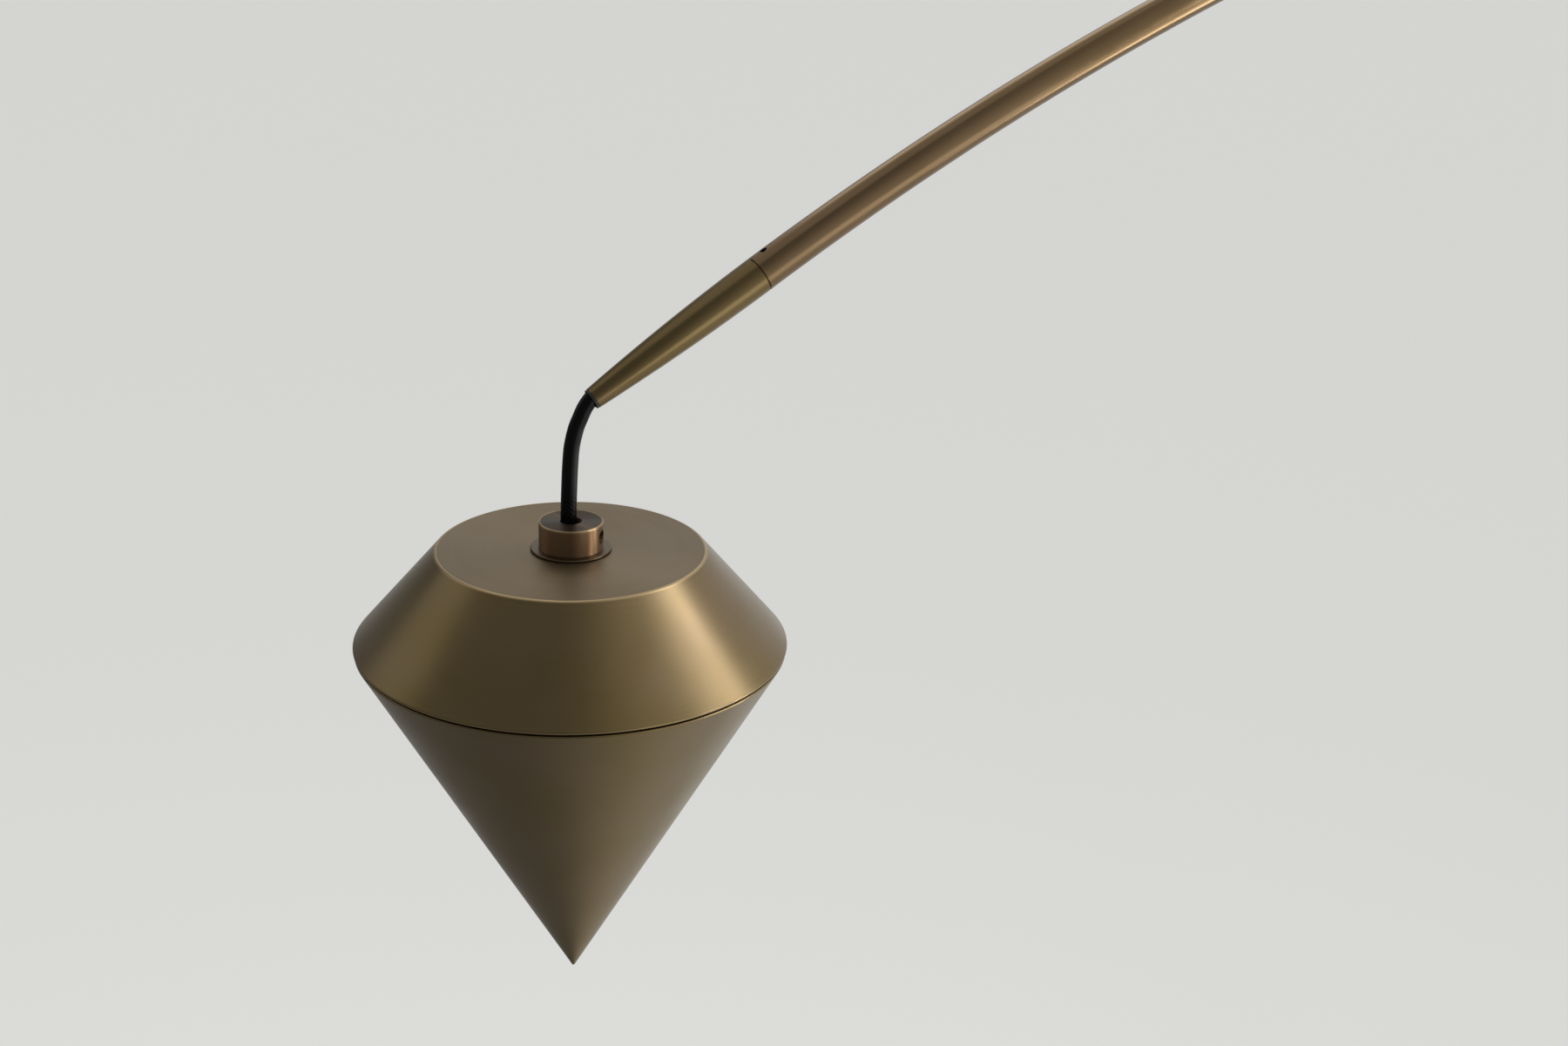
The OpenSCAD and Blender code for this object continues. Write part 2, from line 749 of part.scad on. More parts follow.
module clamp_collar() {
    edge = 0.6;
    height = clamp_below + clamp_h;
    color(BRASS) translate([0, 0, stem_top_z - clamp_below]) difference() {
        rotate_extrude() union() {
            translate([0, edge]) square([clamp_r, height - 2 * edge]);
            square([clamp_r - edge, height]);
            for (z = [edge, height - edge]) translate([clamp_r - edge, z])
                circle(edge, $fn = SMALL_FN);
        }
        translate([0, 0, -over]) cylinder(h = clamp_below + over, r = stem_r + screw_fit);
        translate([0, 0, -over]) cylinder(h = height + 2 * over, r = stem_bore_r);
        sideways(0, thumb_z - stem_top_z + clamp_below)
            cylinder(h = clamp_r + over, r = thumb_r + running_fit);
        sideways(90, clamp_below / 2)
            cylinder(h = clamp_r + over, r = m4_r + screw_fit, $fn = SMALL_FN);
    }
}

// The clamp collar's, the stop bush's and the stem foot's grub screws are all alike.
module stem_grub_screws() {
    color(STEEL) {
        sideways(90, stem_top_z - clamp_below / 2) grub(m4_r, stem_r + 0.05, clamp_r - 0.4);
        sideways(0, leg_bottom_z - stop_h / 2) grub(m4_r, stop_hole_r + 0.8, stem_r - 0.3);
        for (a = [90, 270]) sideways(a, base_h + foot_hub_h - 8)
            grub(m4_r, stem_r + 0.05, foot_hub_r - 0.4);
    }
}

module stop_bush() {
    color(BLACK) difference() {
        translate([0, 0, leg_bottom_z - stop_h])
            ring_tube(stem_bore_r - screw_fit, stop_hole_r, stop_h);
        translate([stop_hole_r + 0.8, 0, leg_bottom_z - stop_h / 2]) rotate([0, 90, 0])
            cylinder(h = stem_r, r = m4_r + screw_fit, $fn = SMALL_FN);
    }
}

module stem_socket() {
    color(BLACK) difference() {
        translate([0, 0, socket_top_z - socket_len])
            cylinder(h = socket_len, r = stem_bore_r - screw_fit);
        translate([0, 0, socket_top_z - plug_pin_len])
            cylinder(h = plug_pin_len + over, r = plug_pin_r + running_fit);
    }
}

// Down the stem, round a quarter turn under the foot and along the base to the driver.
module stem_cable() {
    turn_z = cable_run_z + cable_turn_r;
    color(BLACK) union() {
        translate([0, 0, turn_z])
            cylinder(h = socket_top_z - socket_len - turn_z, r = stem_cable_r);
        translate([cable_turn_r, 0, turn_z]) rotate([90, 0, 0]) rotate([0, 0, 180])
            rotate_extrude(angle = 90) translate([cable_turn_r, 0])
                circle(stem_cable_r, $fn = SMALL_FN);
        translate([cable_turn_r, 0, cable_run_z]) rotate([0, 90, 0])
            cylinder(h = driver_x - cable_turn_r, r = stem_cable_r);
    }
}

// Base

module stem_foot() {
    edge = 1.5;
    color(BRASS) difference() {
        union() {
            translate([0, 0, base_h]) rotate_extrude() union() {
                square([foot_r - edge, foot_h]);
                square([foot_r, foot_h - edge]);
                translate([foot_r - edge, foot_h - edge]) circle(edge, $fn = SMALL_FN);
            }
            translate([0, 0, base_h + foot_h - over])
                cylinder(h = foot_hub_h - foot_h + over, r = foot_hub_r);
            translate([0, 0, foot_end_z])
                cylinder(h = base_h - foot_end_z + over, r = foot_thread_r);
        }
        translate([0, 0, foot_ledge_z]) cylinder(h = foot_hub_h, r = stem_r + screw_fit);
        translate([0, 0, foot_end_z - over]) cylinder(h = base_h, r = foot_bore_r);
        for (a = [90, 270]) sideways(a, base_h + foot_hub_h - 8)
            cylinder(h = foot_hub_r + over, r = m4_r + screw_fit, $fn = SMALL_FN);
    }
}

module foot_washer() {
    color(STEEL) translate([0, 0, foot_end_z + foot_nut_h])
        ring_tube(foot_washer_r, foot_thread_r + screw_fit, foot_washer_t);
}

module foot_nut() {
    color(STEEL) translate([0, 0, foot_end_z])
        hex_nut(foot_nut_r, foot_thread_r + screw_fit, foot_nut_h);
}

module bottom_screw_places() {
    for (i = [0:bottom_screw_count - 1]) rotate([0, 0, 30 + 360 * i / bottom_screw_count])
        translate([bottom_screw_ring, 0, 0]) children();
}

// Cast disc with wells from below for the nut, the driver and the terminal, a well from above
// for the switch, and channels between them.
module base_weight() {
    edge = cover_round;
    pocket = [driver_size[0] + 2 * pocket_gap,
              driver_size[1] + 2 * driver_ear + pocket_gap, driver_size[2] + 3];
    color(IRON) difference() {
        translate([0, 0, floor_z]) rotate_extrude($fn = BIG_FN) polygon([
            [0, 0], [weight_r, 0], [weight_r, weight_top_z - floor_z - edge],
            [weight_r - edge, weight_top_z - floor_z], [0, weight_top_z - floor_z],
        ]);
        cylinder(h = base_h, r = foot_thread_r + screw_fit);
        translate([0, 0, floor_z - over])
            cylinder(h = nut_well_top_z - floor_z + over, r = nut_well_r);
        translate([driver_x - pocket_gap, -pocket[1] / 2, floor_z - over])
            cube([pocket[0], pocket[1], pocket[2] + over]);
        translate([block_well[0], -block_well[1] / 2, floor_z - over])
            cube([base_r, block_well[1], gland_z + gland_hex_r + 1 - floor_z + over]);
        translate([0, -channel_w / 2, floor_z - over])
            cube([driver_x, channel_w, channel_h + over]);
        translate([driver_x, -channel_w / 2, floor_z - over])
            cube([block_x - driver_x, channel_w, channel_h + over]);
        translate([switch_at[0], switch_at[1], case_floor_z])
            cylinder(h = base_h, r = case_r + screw_fit);
        translate([switch_at[0] - channel_w / 2, switch_at[1], floor_z - over])
            cube([channel_w, switch_lead_y + channel_w / 2 - switch_at[1], channel_h + over]);
        translate([switch_at[0] - channel_w / 2, switch_lead_y - channel_w / 2, floor_z - over])
            cube([driver_x + channel_w / 2 - switch_at[0], channel_w, channel_h + over]);
        bottom_screw_places() translate([0, 0, floor_z - over])
            cylinder(h = bottom_screw_len + over, r = bottom_screw_r + screw_fit);
    }
}

module base_cover() {
    inner_round = max(cover_round - cover_wall, 0.5);
    skirt_z = pad_t + 1;
    color(BRASS) difference() {
        rotate_extrude($fn = BIG_FN) difference() {
            union() {
                translate([0, skirt_z]) square([base_r, base_h - cover_round - skirt_z]);
                translate([0, skirt_z]) square([base_r - cover_round, base_h - skirt_z]);
                translate([base_r - cover_round, base_h - cover_round])
                    circle(cover_round, $fn = BIG_FN);
            }
            translate([-over, 0])
                square([base_r - cover_wall + over, weight_top_z - inner_round]);
            translate([-over, 0])
                square([base_r - cover_wall - inner_round + over, weight_top_z]);
            translate([base_r - cover_wall - inner_round, weight_top_z - inner_round])
                circle(inner_round, $fn = BIG_FN);
        }
        cylinder(h = base_h + over, r = foot_thread_r + screw_fit);
        translate([switch_at[0], switch_at[1], floor_z])
            cylinder(h = base_h, r = ring_spigot_r + screw_fit);
        translate([base_r - 3 * cover_wall, 0, gland_z]) rotate([0, 90, 0])
            cylinder(h = 6 * cover_wall, r = gland_body_r + screw_fit);
    }
}

module bottom_plate() {
    color(STEEL) translate([0, 0, pad_t]) difference() {
        cylinder(h = bottom_t, r = bottom_r, $fn = BIG_FN);
        bottom_screw_places() translate([0, 0, -over])
            cylinder(h = bottom_t + 2 * over, r = bottom_screw_r + screw_fit);
    }
}

// Plate screws with flat heads sunk flush under the plate's face, inside the floor pad's holes.
module bottom_screws() {
    head_t = 1.2;
    color(STEEL) bottom_screw_places() union() {
        translate([0, 0, pad_t - head_t]) cylinder(h = head_t, r = 2 * bottom_screw_r);
        translate([0, 0, pad_t - 0.2])
            cylinder(h = bottom_t + bottom_screw_len - 1, r = bottom_screw_r);
    }
}

module floor_pad() {
    color(BLACK) difference() {
        cylinder(h = pad_t, r = pad_out_r, $fn = BIG_FN);
        bottom_screw_places() translate([0, 0, -over])
            cylinder(h = pad_t + 2 * over, r = 2 * bottom_screw_r + 0.5);
    }
}

module mains_gland() {
    start_x = base_r - gland_inner;
    length = gland_inner + gland_hex_t + gland_dome_len;
    color(BLACK) translate([start_x, 0, gland_z]) rotate([0, 90, 0]) difference() {
        union() {
            cylinder(h = gland_inner + over, r = gland_body_r);
            translate([0, 0, gland_inner]) cylinder(h = gland_hex_t, r = gland_hex_r, $fn = 6);
            translate([0, 0, gland_inner + gland_hex_t - over])
                cylinder(h = gland_dome_len + over, r = gland_body_r + 1.4);
        }
        translate([0, 0, -over]) cylinder(h = length + 2 * over, r = gland_hole_r);
    }
}

module gland_nut() {
    color(BLACK) translate([gland_nut_x, 0, gland_z]) rotate([0, 90, 0])
        hex_nut(gland_hex_r, gland_body_r + screw_fit, gland_nut_t);
}

module driver_screw_places() {
    for (x = [12, driver_size[0] - 12]) for (s = [-1, 1])
        translate([driver_x + x, s * driver_screw_at, floor_z]) children();
}

module led_driver() {
    color(OPAL) difference() {
        union() {
            translate([driver_x, -driver_size[1] / 2, floor_z]) cube(driver_size);
            translate([driver_x + 4, -driver_size[1] / 2 - driver_ear, floor_z])
                cube([driver_size[0] - 8, driver_size[1] + 2 * driver_ear, driver_ear_t]);
        }
        driver_screw_places() translate([0, 0, -over])
            cylinder(h = driver_ear_t + 2 * over, r = m3_r + screw_fit, $fn = SMALL_FN);
    }
}

module driver_screws() {
    color(STEEL) driver_screw_places() union() {
        cylinder(h = driver_ear_t + 0.5, r = m3_r, $fn = SMALL_FN);
        translate([0, 0, driver_ear_t]) cylinder(h = 1.8, r = 2 * m3_r, $fn = SMALL_FN);
    }
}

module block_screw_places() {
    for (x = [4, block_size[0] - 4]) for (y = [-9, 0, 9])
        translate([block_x + x, y, floor_z + block_size[2]]) children();
}

module mains_terminal() {
    color(OPAL) difference() {
        translate([block_x, -block_size[1] / 2, floor_z]) cube(block_size);
        block_screw_places() translate([0, 0, -5]) cylinder(h = 5 + over, r = 2, $fn = SMALL_FN);
    }
}

module terminal_screws() {
    color(STEEL) block_screw_places() translate([0, 0, -5])
        cylinder(h = 4, r = 2 - screw_fit, $fn = SMALL_FN);
}

// Mains leads from the terminal to the driver, and low-voltage leads from the switch to it.
module base_leads() {
    case_y = switch_at[1] + case_r;
    turn = [switch_at[0], switch_lead_y];
    driver_end = driver_x + driver_size[0];
    color(BLACK) {
        for (y = [-3.5, 3.5]) translate([driver_end, y, floor_z + 6]) rotate([0, 90, 0])
            cylinder(h = block_x - driver_end, r = switch_lead_r, $fn = SMALL_FN);
        for (z = switch_lead_z) {
            route = [
                [turn[0], case_y, z], [turn[0], case_y + 12, z],
                [turn[0], turn[1] - 16, z], [turn[0] + 2, turn[1] - 8, z],
                [turn[0] + 8, turn[1] - 2, z], [turn[0] + 16, turn[1], z],
                [turn[0] + 40, turn[1], z], [driver_x, turn[1], z],
            ];
            sweep(route, all_of(switch_lead_r, route), [0, 0, 1], 8);
        }
    }
}

// Foot switch

module in_switch() {
    translate([switch_at[0], switch_at[1], 0]) children();
}

module switch_case() {
    color(BLACK) in_switch() difference() {
        translate([0, 0, case_floor_z])
            cylinder(h = weight_top_z - case_floor_z, r = case_r);
        translate([0, 0, case_floor_z + case_floor_t]) cylinder(h = base_h, r = case_in_r);
    }
}

module switch_ring() {
    edge = 0.8;
    color(BRASS) in_switch() difference() {
        union() {
            translate([0, 0, base_h]) rotate_extrude() union() {
                square([ring_flange_r - edge, ring_t]);
                square([ring_flange_r, ring_t - edge]);
                translate([ring_flange_r - edge, ring_t - edge]) circle(edge, $fn = SMALL_FN);
            }
            translate([0, 0, flange_top_z]) cylinder(h = ring_drop + 0.5, r = ring_spigot_r);
        }
        translate([0, 0, flange_top_z - over])
            cylinder(h = ring_drop + ring_t + 2 * over, r = ring_in_r);
    }
}

module foot_button() {
    edge = 1;
    rise = ring_drop + ring_t + button_proud;
    color(BRASS) in_switch() union() {
        translate([0, 0, flange_top_z - button_flange_t])
            cylinder(h = button_flange_t, r = button_flange_r);
        translate([0, 0, flange_top_z - 0.5]) rotate_extrude() union() {
            square([button_r, rise + 0.5 - edge]);
            square([button_r - edge, rise + 0.5]);
            translate([button_r - edge, rise + 0.5 - edge]) circle(edge, $fn = SMALL_FN);
        }
    }
}

module switch_spring() {
    steps = 12 * spring_turns;
    low = spring_z + spring_wire_r;
    rise = spring_h - 2 * spring_wire_r;
    points = [for (i = [0:steps])
        [spring_r * cos(30 * i), spring_r * sin(30 * i), low + rise * i / steps]];
    color(STEEL) in_switch() sweep(points, all_of(spring_wire_r, points), [0, 0, 1], 6);
}

// Clamp: the thumb screw carries a pad that presses on the arm's leg.

module clamp_pad() {
    color(BLACK) translate([tube_r + thumb_pad_gap, 0, thumb_z]) rotate([0, 90, 0])
        cylinder(h = thumb_pad_len, r = thumb_r);
}

module thumb_screw() {
    start_x = tube_r + thumb_pad_gap + thumb_pad_len;
    color(BRASS) translate([start_x, 0, thumb_z]) rotate([0, 90, 0]) union() {
        cylinder(h = thumb_head_at - start_x + 0.5, r = thumb_r);
        translate([0, 0, thumb_head_at - start_x]) difference() {
            cylinder(h = thumb_head_len, r = thumb_head_r);
            for (i = [0:knurls - 1]) rotate([0, 0, 360 * i / knurls])
                translate([thumb_head_r, 0, -over])
                    cylinder(h = thumb_head_len + 2 * over, r = knurl_r, $fn = 16);
        }
    }
}

upper_shade();
lower_cone();
collar_washer();
cord_collar();
cord_screw();
cord_screw_tip();
head_nipple();
nipple_nut();
wire_yoke();
heat_plate();
led_board();
led_chips();
opal_ring();
plate_spacer();
cone_plate();
cone_rod();
head_terminal();
head_leads();
pendant_flex();
nose_cone();
nose_bush();
front_tube();
middle_tube();
rear_tube();
front_sleeve();
rear_sleeve();
tube_set_screws();
arm_cable();
arm_plug();
stem_tube();
clamp_collar();
stem_grub_screws();
stop_bush();
stem_socket();
stem_cable();
stem_foot();
foot_washer();
foot_nut();
base_weight();
base_cover();
bottom_plate();
bottom_screws();
floor_pad();
mains_gland();
gland_nut();
led_driver();
driver_screws();
mains_terminal();
terminal_screws();
base_leads();
switch_case();
switch_ring();
switch_spring();
foot_button();
clamp_pad();
thumb_screw();
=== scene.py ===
import json
from math import ceil, cos, floor, pi, radians, sin

import bmesh
import bpy
from mathutils import Matrix, Vector


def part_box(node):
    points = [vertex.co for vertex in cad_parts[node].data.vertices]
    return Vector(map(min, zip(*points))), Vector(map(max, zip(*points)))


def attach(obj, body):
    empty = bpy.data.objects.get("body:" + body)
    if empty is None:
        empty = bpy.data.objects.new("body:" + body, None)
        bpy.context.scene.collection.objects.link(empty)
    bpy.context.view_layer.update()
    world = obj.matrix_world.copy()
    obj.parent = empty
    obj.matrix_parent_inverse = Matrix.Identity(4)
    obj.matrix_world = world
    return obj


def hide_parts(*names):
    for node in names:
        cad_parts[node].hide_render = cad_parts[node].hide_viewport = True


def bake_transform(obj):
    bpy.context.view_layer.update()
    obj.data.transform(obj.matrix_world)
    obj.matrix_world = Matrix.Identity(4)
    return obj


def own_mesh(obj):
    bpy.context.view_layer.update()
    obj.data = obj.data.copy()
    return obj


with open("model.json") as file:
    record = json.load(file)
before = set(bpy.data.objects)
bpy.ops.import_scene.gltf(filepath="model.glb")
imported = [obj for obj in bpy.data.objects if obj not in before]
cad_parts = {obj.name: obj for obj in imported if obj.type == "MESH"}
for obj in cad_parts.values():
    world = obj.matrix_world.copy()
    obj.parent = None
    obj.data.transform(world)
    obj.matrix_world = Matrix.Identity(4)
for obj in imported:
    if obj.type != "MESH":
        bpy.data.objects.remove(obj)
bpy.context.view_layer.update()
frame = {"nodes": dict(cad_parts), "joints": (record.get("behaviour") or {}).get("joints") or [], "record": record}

# Arc floor lamp: aged brass head on a black textile cord, hung from a bent brass tube arm.
# Metres, in the lamp's own frame: +Z up, the head towards -X, the stem's foot at the origin.

MM = 0.001
JOINTS = {joint["name"]: joint for joint in frame["joints"]}

shade_low, shade_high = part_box("upper_shade")
HEAD_X = (shade_low.x + shade_high.x) / 2
RIM_Z = shade_low.z
# The middle of the shade's rim
HEAD = Vector((HEAD_X, 0, RIM_Z))

# Camera

# Sensor and lens are in millimetres, as a camera takes them.
SENSOR_WIDTH = 36
LENS = 52
NEAR_CLIP = 10 * MM
CAMERA_FROM_HEAD = Vector((-318.1, -830.8, 393.8)) * MM
HEADING = radians(26.702)
DOWN_TILT = radians(20.863)
ROLL = radians(1.740)
# Level directions as the camera sees them
RIGHT = Vector((cos(HEADING), -sin(HEADING), 0))
AHEAD = Vector((sin(HEADING), cos(HEADING), 0))
UP = Vector((0, 0, 1))


def add_camera():
    camera = bpy.data.objects.new("camera", bpy.data.cameras.new("camera"))
    camera.data.sensor_width = SENSOR_WIDTH
    camera.data.lens = LENS
    camera.data.clip_start = NEAR_CLIP
    turn = (
        Matrix.Rotation(-HEADING, 4, "Z")
        @ Matrix.Rotation(pi / 2 - DOWN_TILT, 4, "X")
        @ Matrix.Rotation(ROLL, 4, "Z")
    )
    camera.matrix_world = Matrix.Translation(HEAD + CAMERA_FROM_HEAD) @ turn
    bpy.context.scene.collection.objects.link(camera)
    bpy.context.scene.camera = camera


def new_object(name, bm):
    mesh = bpy.data.meshes.new(name)
    bm.to_mesh(mesh)
    bm.free()
    piece = bpy.data.objects.new(name, mesh)
    bpy.context.scene.collection.objects.link(piece)
    return piece


# Cord: it leaves the nose's mouth, bends down and hangs straight into the collar.

CORD_RADIUS = 3.4 * MM
COLLAR_TOP = Vector(JOINTS["head_tilt"]["pos_m"])
# The hinge that stands for the cord's bend lies below the nose's mouth and ahead of it.
MOUTH_FROM_HINGE = Vector((9.2, 0, 10)) * MM
MOUTH = Vector(JOINTS["head_swing"]["pos_m"]) + MOUTH_FROM_HINGE
# Points in millimetres from the mouth's middle, and the share of the radius that the mouth leaves
CORD_ROUTE = [
    (2.1, 0, 2.3, 0.76), (0.9, 0, 1.6, 0.88), (-0.2, 0, 0.4, 1), (-2.9, 0, -3.2, 1),
    (-5, 0, -7.5, 1), (-6.5, 0.1, -11, 1), (-7.6, 0.1, -14.7, 1), (-8.4, 0.2, -18.4, 1),
    (-8.9, 0.3, -22.2, 1), (-9.4, 0.4, -29.7, 1), (-9.7, 0.5, -37.4, 1), (-9.9, 0.6, -44, 1),
    (-10, 0.7, -52, 1), (-10, 0.7, -62, 1), (-10, 0.7, -74, 1), (-10, 0.7, -85, 1),
]
# The piece in the head starts this far above the collar.
SEAM_ABOVE_COLLAR = 9 * MM
# Braid: its strands each way round, the length in which one goes round the cord once, the depth of
# its gaps, how round a strand's back is (0 is flat) and how far it dives under one that crosses it
BRAID_STRANDS = 16
BRAID_PITCH = 16 * MM
BRAID_RELIEF = 0.1 * MM
STRAND_ROUNDNESS = 0.5
CROSSING_DIP = 0.45
CORD_SIDES = 112
CORD_STEP = 0.28 * MM


def smooth_route(points, step):
    """Points about a step apart on a smooth line, a Catmull-Rom spline, through the given ones. A
    point is x, y, z and the radius there."""
    ends = [points[0] * 2 - points[1]] + points + [points[-1] * 2 - points[-2]]
    fine = []
    for a, b, c, d in zip(ends, ends[1:], ends[2:], ends[3:]):
        count = max(1, ceil((c - b).xyz.length / step))
        for i in range(count):
            t = i / count
            fine.append(
                0.5 * (2 * b + (c - a) * t + (2 * a - 5 * b + 4 * c - d) * t * t
                       + (3 * b - a - 3 * c + d) * t * t * t)
            )
    fine.append(points[-1].copy())
    return fine


def route_length(route):
    return sum((b.xyz - a.xyz).length for a, b in zip(route, route[1:]))


def braid_height(turn, run):
    """Height of the braid, from 0 in its gaps to 1 on a strand's back, at a share of a turn round
    the cord and a length along it."""
    left = BRAID_STRANDS * turn + run * BRAID_STRANDS / BRAID_PITCH
    right = BRAID_STRANDS * turn - run * BRAID_STRANDS / BRAID_PITCH
    left_on_top = (floor(left / 2) + floor(right / 2)) % 2
    strand, crossing = (left, right) if left_on_top else (right, left)
    dip = CROSSING_DIP * (1 - abs(sin(pi * crossing / 2)))
    return abs(sin(pi * strand)) ** STRAND_ROUNDNESS * (1 - dip)


def braided_tube(name, route, run=0.0):
    """A tube along route, whose points are x, y, z and the radius there. Its braid is that of a
    cord of which the length run lies before the route."""
    bm = bmesh.new()
    uv = bm.loops.layers.uv.new("UVMap")
    rings = []
    runs = []
    side = Vector((0, 1, 0))
    for i, point in enumerate(route):
        ahead = route[min(i + 1, len(route) - 1)].xyz - route[max(i - 1, 0)].xyz
        across = ahead.cross(side).normalized()
        flat = across.cross(ahead).normalized()
        if i:
            run += (point.xyz - route[i - 1].xyz).length
        runs.append(run)
        ring = []
        for k in range(CORD_SIDES):
            turn = k / CORD_SIDES
            radius = point.w - BRAID_RELIEF * (1 - braid_height(turn, run))
            out = across * cos(2 * pi * turn) + flat * sin(2 * pi * turn)
            ring.append(bm.verts.new(point.xyz + out * radius))
        rings.append(ring)
    for i in range(len(rings) - 1):
        for k in range(CORD_SIDES):
            n = (k + 1) % CORD_SIDES
            face = bm.faces.new((rings[i][k], rings[i][n], rings[i + 1][n], rings[i + 1][k]))
            face.smooth = True
            corners = ((k, i), (k + 1, i), (k + 1, i + 1), (k, i + 1))
            for loop, (u, v) in zip(face.loops, corners):
                loop[uv].uv = (u / CORD_SIDES, runs[v] / BRAID_PITCH)
    bm.faces.new(list(reversed(rings[0])))
    bm.faces.new(rings[-1])
    bmesh.ops.recalc_face_normals(bm, faces=bm.faces)
    return new_object(name, bm)


def add_cord(material):
    places = [
        Vector((MOUTH.x + x * MM, MOUTH.y + y * MM, MOUTH.z + z * MM, CORD_RADIUS * share))
        for x, y, z, share in CORD_ROUTE
    ]
    line = smooth_route(places, CORD_STEP)
    seam_z = COLLAR_TOP.z + SEAM_ABOVE_COLLAR
    seam = next(i for i, point in enumerate(line) if point.z < seam_z)
    seen_length = route_length(line[: seam + 1])
    hanging = braided_tube("textile_cord", line[: seam + 1])
    hanging.data.materials.append(material)
    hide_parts("pendant_flex")
    lower = braided_tube("textile_cord_in_collar", line[seam:], seen_length)
    lower.data.materials.append(material)
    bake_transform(hanging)
    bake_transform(lower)


# Arm's layout. A heading is the angle from straight up to -X.

TUBE_RADIUS = 8 * MM
BORE_RADIUS = 6.5 * MM
LEG_TOP = Vector((0, 0, 1510)) * MM
LEG_LENGTH = 660 * MM
# The tubes from the stem outwards: each one's bend radius and the angle that it turns
BENDS = {
    "rear_tube": (450 * MM, radians(40)),
    "middle_tube": (700 * MM, radians(58)),
    "front_tube": (1530 * MM, radians(23.6)),
}
JOINT_GAP = 0.8 * MM
SCREW_HOLE_RADIUS = 1.6 * MM
SCREW_FROM_JOINT = 6.3 * MM
HOLE_SIDES = 32
CUTTER_DEPTH = 6 * MM
# Edges that turn more than this stay sharp.
SHARP_ANGLE = radians(35)
TUBE_SIDES = 96
TUBE_STEP = 7 * MM


def along(heading):
    return Vector((-sin(heading), 0, cos(heading)))


def outward(heading):
    return Vector((cos(heading), 0, sin(heading)))


def arm_joints():
    """The middle and the heading of the leg's top and of each tube's far end."""
    joint, heading = LEG_TOP, 0
    joints = [(joint, heading)]
    for bend_radius, turn in BENDS.values():
        centre = joint - outward(heading) * bend_radius
        heading += turn
        joint = centre + outward(heading) * bend_radius
        joints.append((joint, heading))
    return joints


# Materials

# Lathe rings and grain are finer than this in life; they are drawn as coarse as they need to show.
RING_WIDTH = 0.45 * MM
RING_DEPTH = 0.01 * MM
CLOUD_WIDTH = 70 * MM
SMEAR_WIDTH = 26 * MM
# Smears, rings and grain make the brass this much rougher or smoother.
TURNED_DRIFT = 0.05
DRAWN_DRIFT = 0.04
# Painted highlight on a worn edge: this share of the bright tone in its core, less further out.
WEAR_HIGHLIGHT_WIDTH = 1.1 * MM
WEAR_HIGHLIGHT_CORE = 0.4 * WEAR_HIGHLIGHT_WIDTH
WEAR_HIGHLIGHT_SHARE = 0.6
# A dull top, painted darker as shade, starts this far below its height and is rougher than the sides by this
TOP_FADE = 0.1 * MM
TOP_ROUGHER = 0.12
# A face in a joint's own plane counts as past the joint.
FACE_MARGIN = 0.02 * MM
# Turns the grooves' highlights by a quarter, so that they are drawn out across the rings.
ACROSS_RINGS = 0.25
# Fibres are drawn 0.13 mm wide and 0.4 mm long: so many lie round the cord, and along a pitch.
FIBRES_ROUND = 160
FIBRES_IN_PITCH = 40
# A noise keeps mostly within this range.
NOISE_RANGE = {"From Min": 0.3, "From Max": 0.7}

SPUN_BRASS = ("#77673f", "#85735c")
# Near black: raw brass skin, and the shade painted into joint gaps and screw holes
RAW_SHADE_BRASS = "#1c150d"
# The bright tone painted on worn edges as their highlight line
EDGE_HIGHLIGHT_BRASS = "#b7a079"


def colour(code):
    """Linear RGBA of an sRGB hex colour."""
    parts = [int(code[i : i + 2], 16) / 255 for i in (1, 3, 5)]
    return (*[p / 12.92 if p <= 0.04045 else ((p + 0.055) / 1.055) ** 2.4 for p in parts], 1)


def new_material(name):
    material = bpy.data.materials.new(name)
    material.use_nodes = True
    tree = material.node_tree
    shader = tree.nodes["Principled BSDF"]
    return material, tree, shader


def add(tree, kind, settings=None, inputs=None, links=None):
    """A node with its settings, its input values and its incoming links."""
    node = tree.nodes.new(kind)
    for key, value in (settings or {}).items():
        setattr(node, key, value)
    for key, value in (inputs or {}).items():
        node.inputs[key].default_value = value
    for key, source in (links or {}).items():
        tree.links.new(source, node.inputs[key])
    return node


def aged_tint(tree, place, grain, tones):
    """A colour between two tones that drifts slowly with place, and a little with the grain."""
    clouds = add(
        tree, "ShaderNodeTexNoise", None,
        {"Scale": 1 / CLOUD_WIDTH, "Detail": 3, "Roughness": 0.55}, {"Vector": place},
    ).outputs[0]
    drift = add(
        tree, "ShaderNodeMapRange", None,
        {**NOISE_RANGE, "To Min": 0.15, "To Max": 0.85}, {"Value": clouds},
    ).outputs[0]
    streaks = add(
        tree, "ShaderNodeMapRange", None,
        {**NOISE_RANGE, "To Min": -0.15, "To Max": 0.15}, {"Value": grain},
    ).outputs[0]
    mixed = add(
        tree, "ShaderNodeMath", {"operation": "ADD", "use_clamp": True}, None,
        {0: drift, 1: streaks},
    ).outputs[0]
    return add(
        tree, "ShaderNodeMix", {"data_type": "RGBA"},
        {"A": colour(tones[0]), "B": colour(tones[1])}, {"Factor": mixed},
    ).outputs["Result"]


